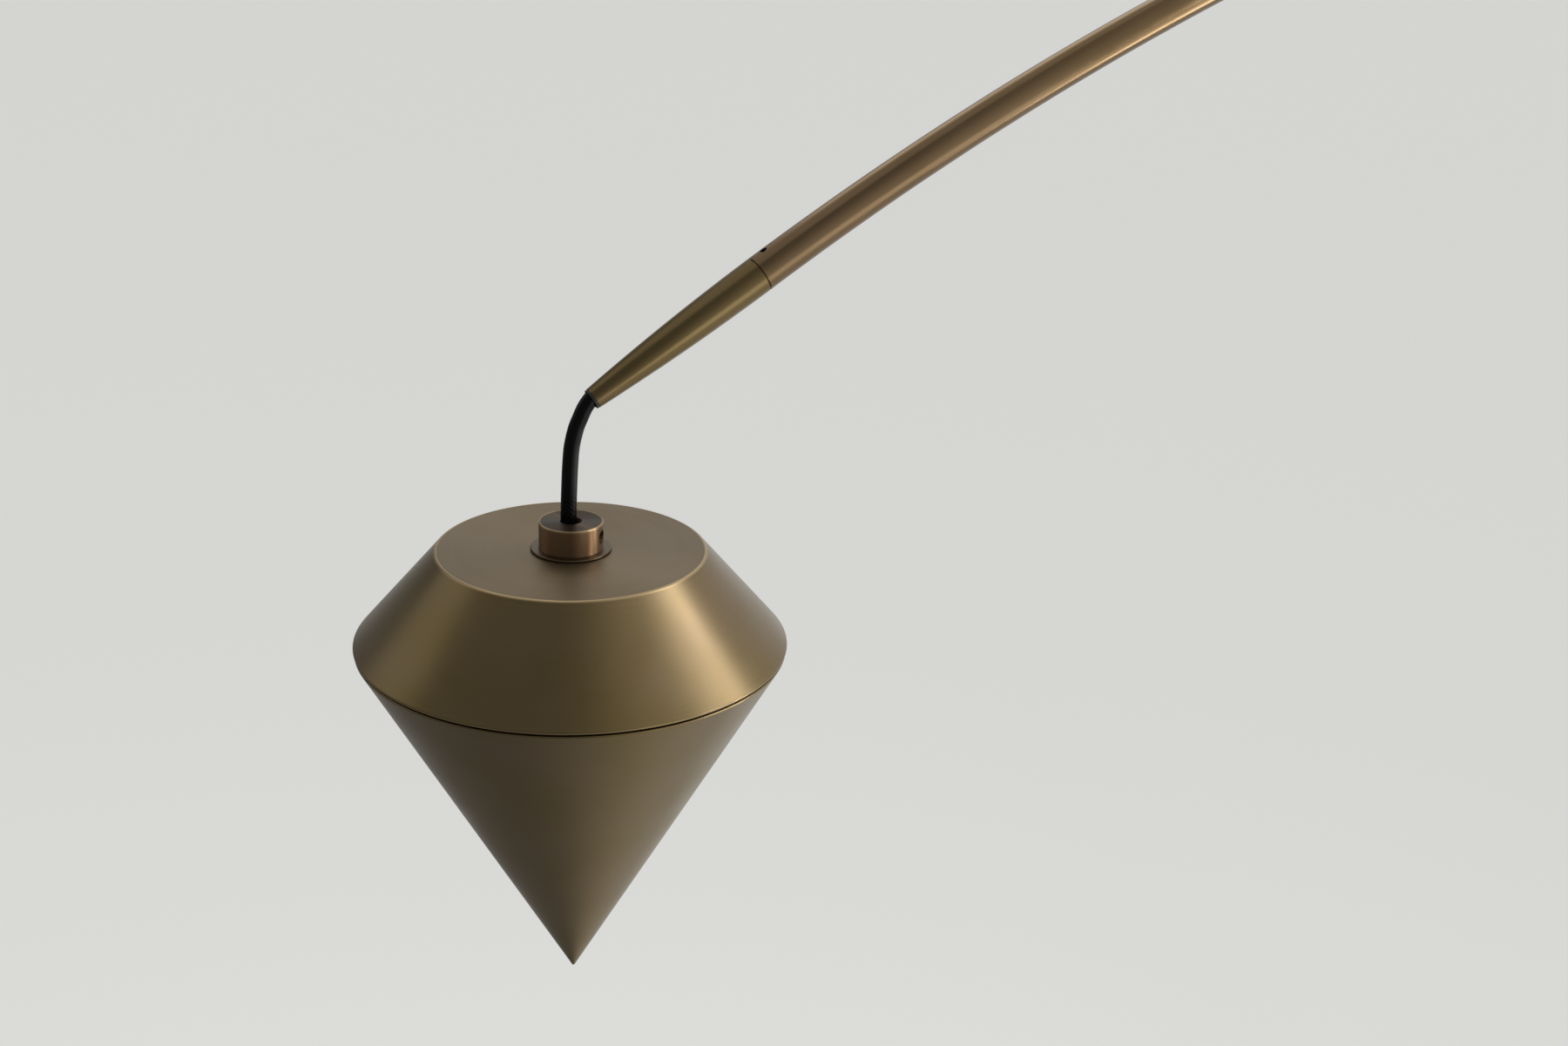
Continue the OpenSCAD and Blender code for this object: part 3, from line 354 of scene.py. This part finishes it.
def turned_brass(name, tones, centre, roughness, grooved, edge_wear_highlights=(), matte_shaded_top=None):
    """Aged brass, polished on a lathe: fine rings that draw highlights out across them, faint soft
    clouds of tarnish, smears left by the polishing cloth, and worn edges painted bright as their
    highlight line. The upright axis goes through the centre, and heights are measured from there.
    A worn edge is its radius and its height. A dull top is its height and its painted shade colour."""
    material, tree, shader = new_material(name)
    place = add(tree, "ShaderNodeTexCoord").outputs["Object"]
    centred = add(
        tree, "ShaderNodeMapping", None, {"Location": -Vector(centre)}, {"Vector": place}
    ).outputs[0]
    flat = add(
        tree, "ShaderNodeVectorMath", {"operation": "MULTIPLY"}, {1: (1, 1, 0)}, {0: centred}
    ).outputs[0]
    distance = add(
        tree, "ShaderNodeVectorMath", {"operation": "LENGTH"}, None, {0: flat}
    ).outputs["Value"]
    height = add(tree, "ShaderNodeSeparateXYZ", None, None, {0: centred}).outputs["Z"]
    profile = add(
        tree, "ShaderNodeCombineXYZ", None, None, {"X": distance, "Y": height}
    ).outputs[0]
    rings = add(
        tree, "ShaderNodeTexNoise", None,
        {"Scale": 1 / RING_WIDTH, "Detail": 3, "Roughness": 0.65}, {"Vector": profile},
    ).outputs[0]
    tint = aged_tint(tree, centred, rings, tones)
    smears = add(
        tree, "ShaderNodeTexNoise", None,
        {"Scale": 1 / SMEAR_WIDTH, "Detail": 1, "Roughness": 0.4},
        {"Vector": centred},
    ).outputs[0]
    uneven = add(
        tree, "ShaderNodeMath", {"operation": "ADD"}, None, {0: rings, 1: smears}
    ).outputs[0]
    gloss = add(
        tree, "ShaderNodeMapRange", None,
        {"From Min": 2 * NOISE_RANGE["From Min"], "From Max": 2 * NOISE_RANGE["From Max"],
         "To Min": roughness - TURNED_DRIFT, "To Max": roughness + TURNED_DRIFT},
        {"Value": uneven},
    ).outputs[0]
    # The top is painted darker, as shade, and made rougher.
    if matte_shaded_top:
        level, top_shade_colour = matte_shaded_top
        matte_and_shade = add(
            tree, "ShaderNodeMapRange", None,
            {"From Min": level - TOP_FADE, "From Max": level, "To Min": 0, "To Max": 1},
            {"Value": height},
        ).outputs[0]
        tint = add(
            tree, "ShaderNodeMix", {"data_type": "RGBA"}, {"B": colour(top_shade_colour)},
            {"Factor": matte_and_shade, "A": tint},
        ).outputs["Result"]
        gloss = add(
            tree, "ShaderNodeMath", {"operation": "MULTIPLY_ADD"}, {1: TOP_ROUGHER},
            {0: matte_and_shade, 2: gloss},
        ).outputs[0]
    # Worn edges are painted lighter, as the highlight line along them.
    for radius, rise in edge_wear_highlights:
        away = add(
            tree, "ShaderNodeVectorMath", {"operation": "DISTANCE"}, {1: (radius, rise, 0)},
            {0: profile},
        ).outputs["Value"]
        edge_highlight_mask = add(
            tree, "ShaderNodeMapRange", {"interpolation_type": "SMOOTHSTEP"},
            {"From Min": WEAR_HIGHLIGHT_CORE, "From Max": WEAR_HIGHLIGHT_WIDTH, "To Min": WEAR_HIGHLIGHT_SHARE, "To Max": 0},
            {"Value": away},
        ).outputs[0]
        tint = add(
            tree, "ShaderNodeMix", {"data_type": "RGBA"}, {"B": colour(EDGE_HIGHLIGHT_BRASS)},
            {"Factor": edge_highlight_mask, "A": tint},
        ).outputs["Result"]
    relief = add(
        tree, "ShaderNodeBump", None, {"Strength": 0.2, "Distance": RING_DEPTH}, {"Height": rings}
    ).outputs[0]
    groove = add(
        tree, "ShaderNodeTangent", {"direction_type": "RADIAL", "axis": "Z"}
    ).outputs[0]
    tree.links.new(tint, shader.inputs["Base Color"])
    tree.links.new(gloss, shader.inputs["Roughness"])
    tree.links.new(relief, shader.inputs["Normal"])
    tree.links.new(groove, shader.inputs["Tangent"])
    shader.inputs["Metallic"].default_value = 1
    shader.inputs["Anisotropic"].default_value = grooved
    shader.inputs["Anisotropic Rotation"].default_value = ACROSS_RINGS
    return material


def drawn_brass(name, tones, roughness, raw_shade_past=None):
    """Aged brass tube and bar, rubbed down by hand: an even satin with faint clouds of tarnish.
    Inside the tube that ends at a joint, given as its middle and its heading, the piece keeps its
    unpolished skin, painted near black as the shade in the joint's gap and screw hole."""
    material, tree, shader = new_material(name)
    place = add(tree, "ShaderNodeTexCoord").outputs["Object"]
    grain = add(
        tree, "ShaderNodeTexNoise", None,
        {"Scale": 1 / RING_WIDTH, "Detail": 2, "Roughness": 0.6}, {"Vector": place},
    ).outputs[0]
    tint = aged_tint(tree, place, grain, tones)
    # Inside the tube past the joint the piece is painted near black, as shade.
    if raw_shade_past:
        joint, heading = raw_shade_past
        from_joint = add(
            tree, "ShaderNodeVectorMath", {"operation": "SUBTRACT"}, {1: tuple(joint)}, {0: place}
        ).outputs[0]
        inside = add(
            tree, "ShaderNodeVectorMath", {"operation": "DOT_PRODUCT"},
            {1: tuple(-along(heading))}, {0: from_joint},
        ).outputs["Value"]
        raw = add(
            tree, "ShaderNodeMath", {"operation": "GREATER_THAN"}, {1: -FACE_MARGIN}, {0: inside}
        ).outputs[0]
        tint = add(
            tree, "ShaderNodeMix", {"data_type": "RGBA"}, {"B": colour(RAW_SHADE_BRASS)},
            {"Factor": raw, "A": tint},
        ).outputs["Result"]
    polish = add(
        tree, "ShaderNodeTexNoise", None,
        {"Scale": 1 / SMEAR_WIDTH, "Detail": 3, "Roughness": 0.6}, {"Vector": place},
    ).outputs[0]
    gloss = add(
        tree, "ShaderNodeMapRange", None,
        {**NOISE_RANGE, "To Min": roughness - DRAWN_DRIFT, "To Max": roughness + DRAWN_DRIFT},
        {"Value": polish},
    ).outputs[0]
    tree.links.new(tint, shader.inputs["Base Color"])
    tree.links.new(gloss, shader.inputs["Roughness"])
    shader.inputs["Metallic"].default_value = 1
    return material


def grained(name, tones, grain_width, roughness, relief=0.0, metallic=0.0):
    """A plain or hidden part's finish: a grain between two tones, raised if it has a relief."""
    material, tree, shader = new_material(name)
    place = add(tree, "ShaderNodeTexCoord").outputs["Object"]
    grain = add(
        tree, "ShaderNodeTexNoise", None,
        {"Scale": 1 / grain_width, "Detail": 3, "Roughness": 0.6}, {"Vector": place},
    ).outputs[0]
    tone = add(
        tree, "ShaderNodeMix", {"data_type": "RGBA"},
        {"A": colour(tones[0]), "B": colour(tones[1])}, {"Factor": grain},
    ).outputs["Result"]
    tree.links.new(tone, shader.inputs["Base Color"])
    if relief:
        bump = add(
            tree, "ShaderNodeBump", None, {"Strength": 0.5, "Distance": relief}, {"Height": grain}
        ).outputs[0]
        tree.links.new(bump, shader.inputs["Normal"])
    shader.inputs["Roughness"].default_value = roughness
    shader.inputs["Metallic"].default_value = metallic
    return material


def textile(name):
    """Black rayon braid: matt but for the back of each strand, where the fibres lie side by side
    and throw back a bright lamp as a pale fleck. It follows the cord's own UV map: a turn around it
    and a pitch along it are each 1."""
    material, tree, shader = new_material(name)
    place = add(tree, "ShaderNodeUVMap", {"uv_map": "UVMap"}).outputs[0]
    grain = add(
        tree, "ShaderNodeMapping", None, {"Scale": (FIBRES_ROUND, FIBRES_IN_PITCH, 1)},
        {"Vector": place},
    ).outputs[0]
    fibres = add(
        tree, "ShaderNodeTexNoise", None, {"Scale": 1, "Detail": 2}, {"Vector": grain}
    ).outputs[0]
    tone = add(
        tree, "ShaderNodeMix", {"data_type": "RGBA"},
        {"A": colour("#020101"), "B": colour("#070606")}, {"Factor": fibres},
    ).outputs["Result"]
    turns = add(
        tree, "ShaderNodeVectorMath", {"operation": "SCALE"}, {"Scale": 2 * pi * BRAID_STRANDS},
        {0: place},
    ).outputs[0]
    waves = add(tree, "ShaderNodeVectorMath", {"operation": "COSINE"}, None, {0: turns}).outputs[0]
    parts = add(tree, "ShaderNodeSeparateXYZ", None, None, {0: waves})
    lattice = add(
        tree, "ShaderNodeMath", {"operation": "SUBTRACT"}, None,
        {0: parts.outputs["X"], 1: parts.outputs["Y"]},
    ).outputs[0]
    # 0 along every strand's edges, and 2 in the middle of each crossing
    back = add(tree, "ShaderNodeMath", {"operation": "ABSOLUTE"}, None, {0: lattice}).outputs[0]
    shine = add(
        tree, "ShaderNodeMapRange", {"interpolation_type": "SMOOTHSTEP"},
        {"From Min": 0.9, "From Max": 1.7, "To Min": 0.05, "To Max": 0.5}, {"Value": back},
    ).outputs[0]
    tree.links.new(tone, shader.inputs["Base Color"])
    tree.links.new(shine, shader.inputs["Specular IOR Level"])
    shader.inputs["Roughness"].default_value = 0.18
    return material


def middle_of(node):
    low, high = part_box(node)
    return tuple((low + high) / 2)


DISC_RADIUS = 57 * MM
COLLAR_RADIUS = 13.6 * MM
DISC_RISE = shade_high.z - shade_low.z
COLLAR_RISE = COLLAR_TOP.z - RIM_Z
# The upper shell's crease and rim, and the collar's top edge: worn, and painted bright as highlight lines
SHADE_EDGES = [(DISC_RADIUS, DISC_RISE), (shade_high.x - HEAD_X, 0)]
COLLAR_EDGES = [(COLLAR_RADIUS, COLLAR_RISE)]

# By the record's slot, and by name for the nodes in FINISH_OF
FINISHES = {
    # Drawn tube: a satin brown gold with one long highlight down its side
    "brass": drawn_brass("drawn_brass", ("#735f42", "#826c54"), roughness=0.24),
    # The nose: a little greener than the tube it plugs into, and painted near black as shade inside it
    "pale_brass": drawn_brass(
        "rubbed_brass", ("#705f3b", "#7d6b4c"), roughness=0.25, raw_shade_past=arm_joints()[-1]
    ),
    # Never polished: the bar's dark skin, painted near black as shade, seen only in the tubes' joints and screw
    # holes
    "raw_brass": drawn_brass("unpolished_brass_painted_shade", (RAW_SHADE_BRASS, "#2b2115"), roughness=0.4),
    # Spun shells: broad soft bands of light from top to bottom, edges painted bright as highlight lines and a dull
    # disc painted darker as shade
    "head_brass": turned_brass(
        "spun_brass", SPUN_BRASS, HEAD, roughness=0.33, grooved=0.45,
        edge_wear_highlights=SHADE_EDGES, matte_shaded_top=(DISC_RISE, "#6e604a"),
    ),
    # Turned from a redder bar: a copper tone, a narrow bright band and a top painted dark as shade
    "collar_brass": turned_brass(
        "turned_red_brass", ("#84684d", "#987b60"), HEAD, roughness=0.38, grooved=0.9,
        edge_wear_highlights=COLLAR_EDGES, matte_shaded_top=(COLLAR_RISE, "#4c4238"),
    ),
    # The washer: painted dark brown as the shade line under the collar
    "washer_brass": turned_brass(
        "washer_brass_painted_shade", ("#4d4130", "#5f503d"), HEAD, roughness=0.35, grooved=0.45
    ),
    # As the head, with its rings round the stem, and round the foot button
    "base_brass": turned_brass(
        "spun_brass_base", SPUN_BRASS, (0, 0, 0), roughness=0.33, grooved=0.45
    ),
    "switch_brass": turned_brass(
        "turned_brass", SPUN_BRASS, middle_of("foot_button"), roughness=0.3, grooved=0.45
    ),
    # Zinc plate on screws, nuts and rods: a pale blue-grey metal, faintly clouded
    "steel": grained(
        "zinc_plated_steel", ("#85888c", "#9a9da1"), grain_width=1.2 * MM, roughness=0.35,
        metallic=1,
    ),
    # Grub screws: so dark that they read as the bottom of their hole
    "black_steel": grained(
        "blackened_steel", ("#131315", "#1f1f22"), grain_width=0.6 * MM, roughness=0.45, metallic=1
    ),
    # Sheet as it was rolled: bright, even and unpolished
    "aluminium": grained(
        "rolled_aluminium", ("#b7babe", "#cbced1"), grain_width=0.8 * MM, roughness=0.35,
        metallic=1,
    ),
    # The base's weight: dark grey with the rough skin that the sand leaves
    "iron": grained(
        "sand_cast_iron", ("#2f3033", "#47484b"), grain_width=0.7 * MM, roughness=0.6,
        relief=0.15 * MM, metallic=0.6,
    ),
    # The cord: nearly black, with small pale flecks on the side that the light comes from
    "textile": textile("rayon_braid"),
    # Moulded bushes and glands: deep black with a dim sheen and the mould's fine grain
    "black_plastic": grained(
        "moulded_black_nylon", ("#111113", "#1a1a1c"), grain_width=0.25 * MM, roughness=0.45,
        relief=0.02 * MM,
    ),
    # Sheath drawn off through a die: smoother than the mouldings, and as dull
    "cable": grained(
        "extruded_cable_sheath", ("#141416", "#1c1c1f"), grain_width=0.4 * MM, roughness=0.5,
        relief=0.01 * MM,
    ),
    # Terminals, driver and light chips: a warm white with a slight gloss
    "white_plastic": grained(
        "white_nylon", ("#e9e5dc", "#f3f0e9"), grain_width=0.3 * MM, roughness=0.35,
        relief=0.01 * MM,
    ),
    # The unlit ring behind the slit: painted brown as the shade inside the slit, so that it stays a dark line
    "opal_painted_shade": grained(
        "opal_acrylic_painted_shade", ("#75582f", "#876a42"), grain_width=2 * MM, roughness=0.4
    ),
    # The pad under the base: black with no shine at all
    "rubber": grained(
        "moulded_black_rubber", ("#111111", "#1b1b1b"), grain_width=0.3 * MM, roughness=0.75,
        relief=0.02 * MM,
    ),
}

FINISH_OF = {
    "front_sleeve": "raw_brass",
    "rear_sleeve": "raw_brass",
    "upper_shade": "head_brass",
    "lower_cone": "head_brass",
    "collar_washer": "washer_brass",
    "cord_collar": "collar_brass",
    "base_cover": "base_brass",
    "stem_foot": "base_brass",
    "clamp_collar": "base_brass",
    "switch_ring": "switch_brass",
    "foot_button": "switch_brass",
    "opal_ring": "opal_painted_shade",
}


def dress_nodes():
    for entry in frame["record"]["subparts"]:
        node = frame["nodes"][entry["node"]]
        node.data.materials.clear()
        finish = FINISH_OF.get(entry["node"], entry["material_slot"])
        node.data.materials.append(FINISHES[finish])


# A direction along which no two vertices, edges or faces of a spun piece lie equally far
SORT_ALONG = Vector((1, pi, 30))


def sort_parts(bm):
    """Gives vertices, edges and faces an order that is the same in each run, which spin doesn't."""
    bm.verts.sort(key=lambda vert: vert.co.dot(SORT_ALONG))
    bm.edges.sort(key=lambda edge: (edge.verts[0].co + edge.verts[1].co).dot(SORT_ALONG))
    bm.faces.sort(key=lambda face: face.calc_center_median().dot(SORT_ALONG))


# Arm: smooth tubes in place of the plain ones. A tube after the first starts with the joint's gap.


def screw_hole(joint, heading, distance):
    """A cutter through the outer wall, at a distance along the tube from a joint."""
    bm = bmesh.new()
    place = joint + along(heading) * distance + outward(heading) * TUBE_RADIUS
    turn = outward(heading).to_track_quat("Z", "Y").to_matrix().to_4x4()
    bmesh.ops.create_cone(
        bm, cap_ends=True, segments=HOLE_SIDES, radius1=SCREW_HOLE_RADIUS,
        radius2=SCREW_HOLE_RADIUS, depth=CUTTER_DEPTH, matrix=Matrix.Translation(place) @ turn,
    )
    return new_object("cutter", bm)


def cut(piece, cutters):
    """Takes the cutters out of the piece, and deletes them."""
    for cutter in cutters:
        hole = piece.modifiers.new("hole", "BOOLEAN")
        hole.object = cutter
        hole.solver = "EXACT"
    bpy.context.view_layer.update()
    evaluated = piece.evaluated_get(bpy.context.evaluated_depsgraph_get())
    mesh = bpy.data.meshes.new_from_object(evaluated)
    piece.modifiers.clear()
    piece.data = mesh
    for cutter in cutters:
        bpy.data.objects.remove(cutter)
    mesh.set_sharp_from_angle(angle=SHARP_ANGLE)


def bent_tube(name, start, heading, straight, bend_radius, turn):
    """A hollow tube from start: straight at first, then round a bend. It is spun upright, and its
    rings are then moved to their places along the bend."""
    bm = bmesh.new()
    length = straight + bend_radius * turn
    count = ceil(length / TUBE_STEP)
    heights = [length * i / count for i in range(count + 1)]
    wall = [(TUBE_RADIUS, z) for z in heights] + [(BORE_RADIUS, z) for z in reversed(heights)]
    loop = [bm.verts.new((radius, 0, z)) for radius, z in wall]
    edges = [bm.edges.new(pair) for pair in zip(loop, loop[1:] + loop[:1])]
    bmesh.ops.spin(
        bm, geom=loop + edges, cent=(0, 0, 0), axis=(0, 0, 1), angle=2 * pi, steps=TUBE_SIDES,
        use_merge=True,
    )
    sort_parts(bm)
    for vert in bm.verts:
        x, y, z = vert.co
        bend = max(0, z - straight) / bend_radius
        foot = start + along(heading) * min(z, straight)
        centre = foot - outward(heading) * bend_radius
        vert.co = centre + outward(heading + bend) * (bend_radius + x) + Vector((0, y, 0))
    bmesh.ops.recalc_face_normals(bm, faces=bm.faces)
    for face in bm.faces:
        face.smooth = True
    return new_object(name, bm)


def add_arm(material):
    joints = arm_joints()
    straight, gap = LEG_LENGTH, 0
    for i, (node, (bend_radius, turn)) in enumerate(BENDS.items()):
        (joint, heading), (far_joint, far_heading) = joints[i], joints[i + 1]
        skip = gap / bend_radius
        centre = joint - outward(heading) * bend_radius
        bend_start = centre + outward(heading + skip) * bend_radius
        tube = bent_tube(
            node + "_smooth", bend_start - along(heading + skip) * straight, heading + skip,
            straight, bend_radius, turn - skip,
        )
        cutters = [screw_hole(joint, heading, SCREW_FROM_JOINT)] if gap else []
        cutters.append(screw_hole(far_joint, far_heading, -SCREW_FROM_JOINT))
        cut(tube, cutters)
        tube.data.materials.append(material)
        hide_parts(node)
        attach(tube, "arm")
        straight, gap = 0, JOINT_GAP


# Switch spring: a wound coil in place of the plain one.

SPRING_WIRE_RADIUS = 0.9 * MM
SPRING_TURNS = 5
WIRE_SIDES = 12
STEPS_PER_TURN = 32


def add_spring(material):
    low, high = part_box("switch_spring")
    centre = (low + high) / 2
    bm = bmesh.new()
    bmesh.ops.create_circle(bm, segments=WIRE_SIDES, radius=SPRING_WIRE_RADIUS)
    coil_radius = (high.x - low.x) / 2 - SPRING_WIRE_RADIUS
    start = Vector((centre.x + coil_radius, centre.y, low.z + SPRING_WIRE_RADIUS))
    upright = Matrix.Rotation(pi / 2, 4, "X")
    bmesh.ops.transform(bm, matrix=Matrix.Translation(start) @ upright, verts=bm.verts)
    steps = STEPS_PER_TURN * SPRING_TURNS
    climb = (high.z - low.z - 2 * SPRING_WIRE_RADIUS) / steps
    bmesh.ops.spin(
        bm, geom=bm.verts[:] + bm.edges[:], cent=centre, axis=(0, 0, 1), dvec=(0, 0, climb),
        angle=2 * pi * SPRING_TURNS, steps=steps,
    )
    bmesh.ops.holes_fill(bm, edges=bm.edges)
    sort_parts(bm)
    bmesh.ops.recalc_face_normals(bm, faces=bm.faces)
    for face in bm.faces:
        face.smooth = len(face.verts) == 4
    spring = new_object("coil_spring", bm)
    spring.data.materials.append(material)
    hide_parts("switch_spring")
    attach(spring, "stand")
    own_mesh(spring)


# Stage: pale floor, pale surroundings and soft lamps

# So wide that the floor's edge lies at the horizon
FLOOR_SIZE = 300


def pale_floor():
    """Painted plaster: even and matt, so that the lamp's shadow is all that shows on it."""
    material, _, shader = new_material("pale_floor")
    shader.inputs["Base Color"].default_value = colour("#e2e2e0")
    shader.inputs["Roughness"].default_value = 0.9
    shader.inputs["Specular IOR Level"].default_value = 0.1
    return material


def add_floor():
    bm = bmesh.new()
    bmesh.ops.create_grid(bm, x_segments=1, y_segments=1, size=FLOOR_SIZE)
    ground = new_object("floor", bm)
    ground.data.materials.append(pale_floor())
    ground.visible_glossy = False


# The world that is seen is as bright as the far floor, so that no horizon shows.
FLOOR_TONE = 0.675
# The world that lights the lamp
AMBIENT = 0.85
# The world that the brass mirrors: dim where it faces away from the bright side, which is to the
# right and behind the lamp
MIRRORED_DIM = 0.2
MIRRORED_BRIGHT = 0.75
BRIGHT_SIDE = (AHEAD * 0.4 + RIGHT * 0.9).normalized()
# Sockets of a Mix node's A and B when it mixes numbers
MIX_A = 2
MIX_B = 3


def add_world():
    world = bpy.data.worlds.new("studio")
    bpy.context.scene.world = world
    world.use_nodes = True
    tree = world.node_tree
    back = tree.nodes["Background"]
    path = add(tree, "ShaderNodeLightPath")
    seen = add(
        tree, "ShaderNodeMath", {"operation": "MAXIMUM"}, None,
        {0: path.outputs["Is Camera Ray"], 1: path.outputs["Is Transmission Ray"]},
    ).outputs[0]
    direction = add(tree, "ShaderNodeTexCoord").outputs["Generated"]
    facing = add(
        tree, "ShaderNodeVectorMath", {"operation": "DOT_PRODUCT"},
        {1: tuple(BRIGHT_SIDE)}, {0: direction},
    ).outputs["Value"]
    mirrored = add(
        tree, "ShaderNodeMapRange", {"interpolation_type": "SMOOTHSTEP"},
        {"From Min": -0.3, "From Max": 0.5, "To Min": MIRRORED_DIM, "To Max": MIRRORED_BRIGHT},
        {"Value": facing},
    ).outputs[0]
    glossy = add(
        tree, "ShaderNodeMix", {"data_type": "FLOAT"}, {MIX_A: AMBIENT},
        {0: path.outputs["Is Glossy Ray"], MIX_B: mirrored},
    ).outputs[0]
    strength = add(
        tree, "ShaderNodeMix", {"data_type": "FLOAT"}, {MIX_B: FLOOR_TONE},
        {0: seen, MIX_A: glossy},
    ).outputs[0]
    back.inputs["Color"].default_value = colour("#fbfbfa")
    tree.links.new(strength, back.inputs["Strength"])


# Each lamp's way right, ahead and up from the head, its width and height, and its watts. The narrow
# ones draw the bright bands on the brass and the flecks on the cord, and the wide ones fill.
LAMPS = {
    "window": ((1.45, 0.37, 1.0), (0.2, 1.0), 3.9),
    "window_sill": ((1.47, -0.26, 0.27), (0.25, 0.5), 3.5),
    "side_strip": ((1.33, -0.5, -0.38), (1.6, 0.5), 2.2),
    "low_window": ((1.3, 0.16, -0.2), (0.2, 0.6), 3.4),
    "left_fill": ((-1.5, 0.45, 0.85), (1.0, 1.0), 1.5),
    "back_fill": ((0, 1.2, 1.2), (1.2, 0.8), 3.6),
    "ceiling": ((-0.45, 0.2, 1.5), (1.4, 1.4), 2),
}


def way(right, ahead, up):
    return RIGHT * right + AHEAD * ahead + UP * up


def add_lamp(name, place, size, power):
    lamp = bpy.data.objects.new(name, bpy.data.lights.new(name, "AREA"))
    lamp.data.shape = "RECTANGLE"
    lamp.data.size, lamp.data.size_y = size
    lamp.data.energy = power
    lamp.location = HEAD + place
    lamp.rotation_euler = (-place).to_track_quat("-Z", "Y").to_euler()
    lamp.visible_camera = False
    bpy.context.scene.collection.objects.link(lamp)


def add_lights():
    for name, (place, size, power) in LAMPS.items():
        add_lamp(name, way(*place), size, power)
    sun = bpy.data.objects.new("sun", bpy.data.lights.new("sun", "SUN"))
    sun.data.energy = 0.25
    sun.data.angle = radians(20)
    sun.rotation_euler = way(0.8, 0.2, 0.8).to_track_quat("Z", "Y").to_euler()
    bpy.context.scene.collection.objects.link(sun)


add_camera()
add_cord(FINISHES["textile"])
dress_nodes()
add_arm(FINISHES["brass"])
add_spring(FINISHES["steel"])
add_floor()
add_world()
add_lights()

bpy.context.scene.view_settings.view_transform = "Standard"
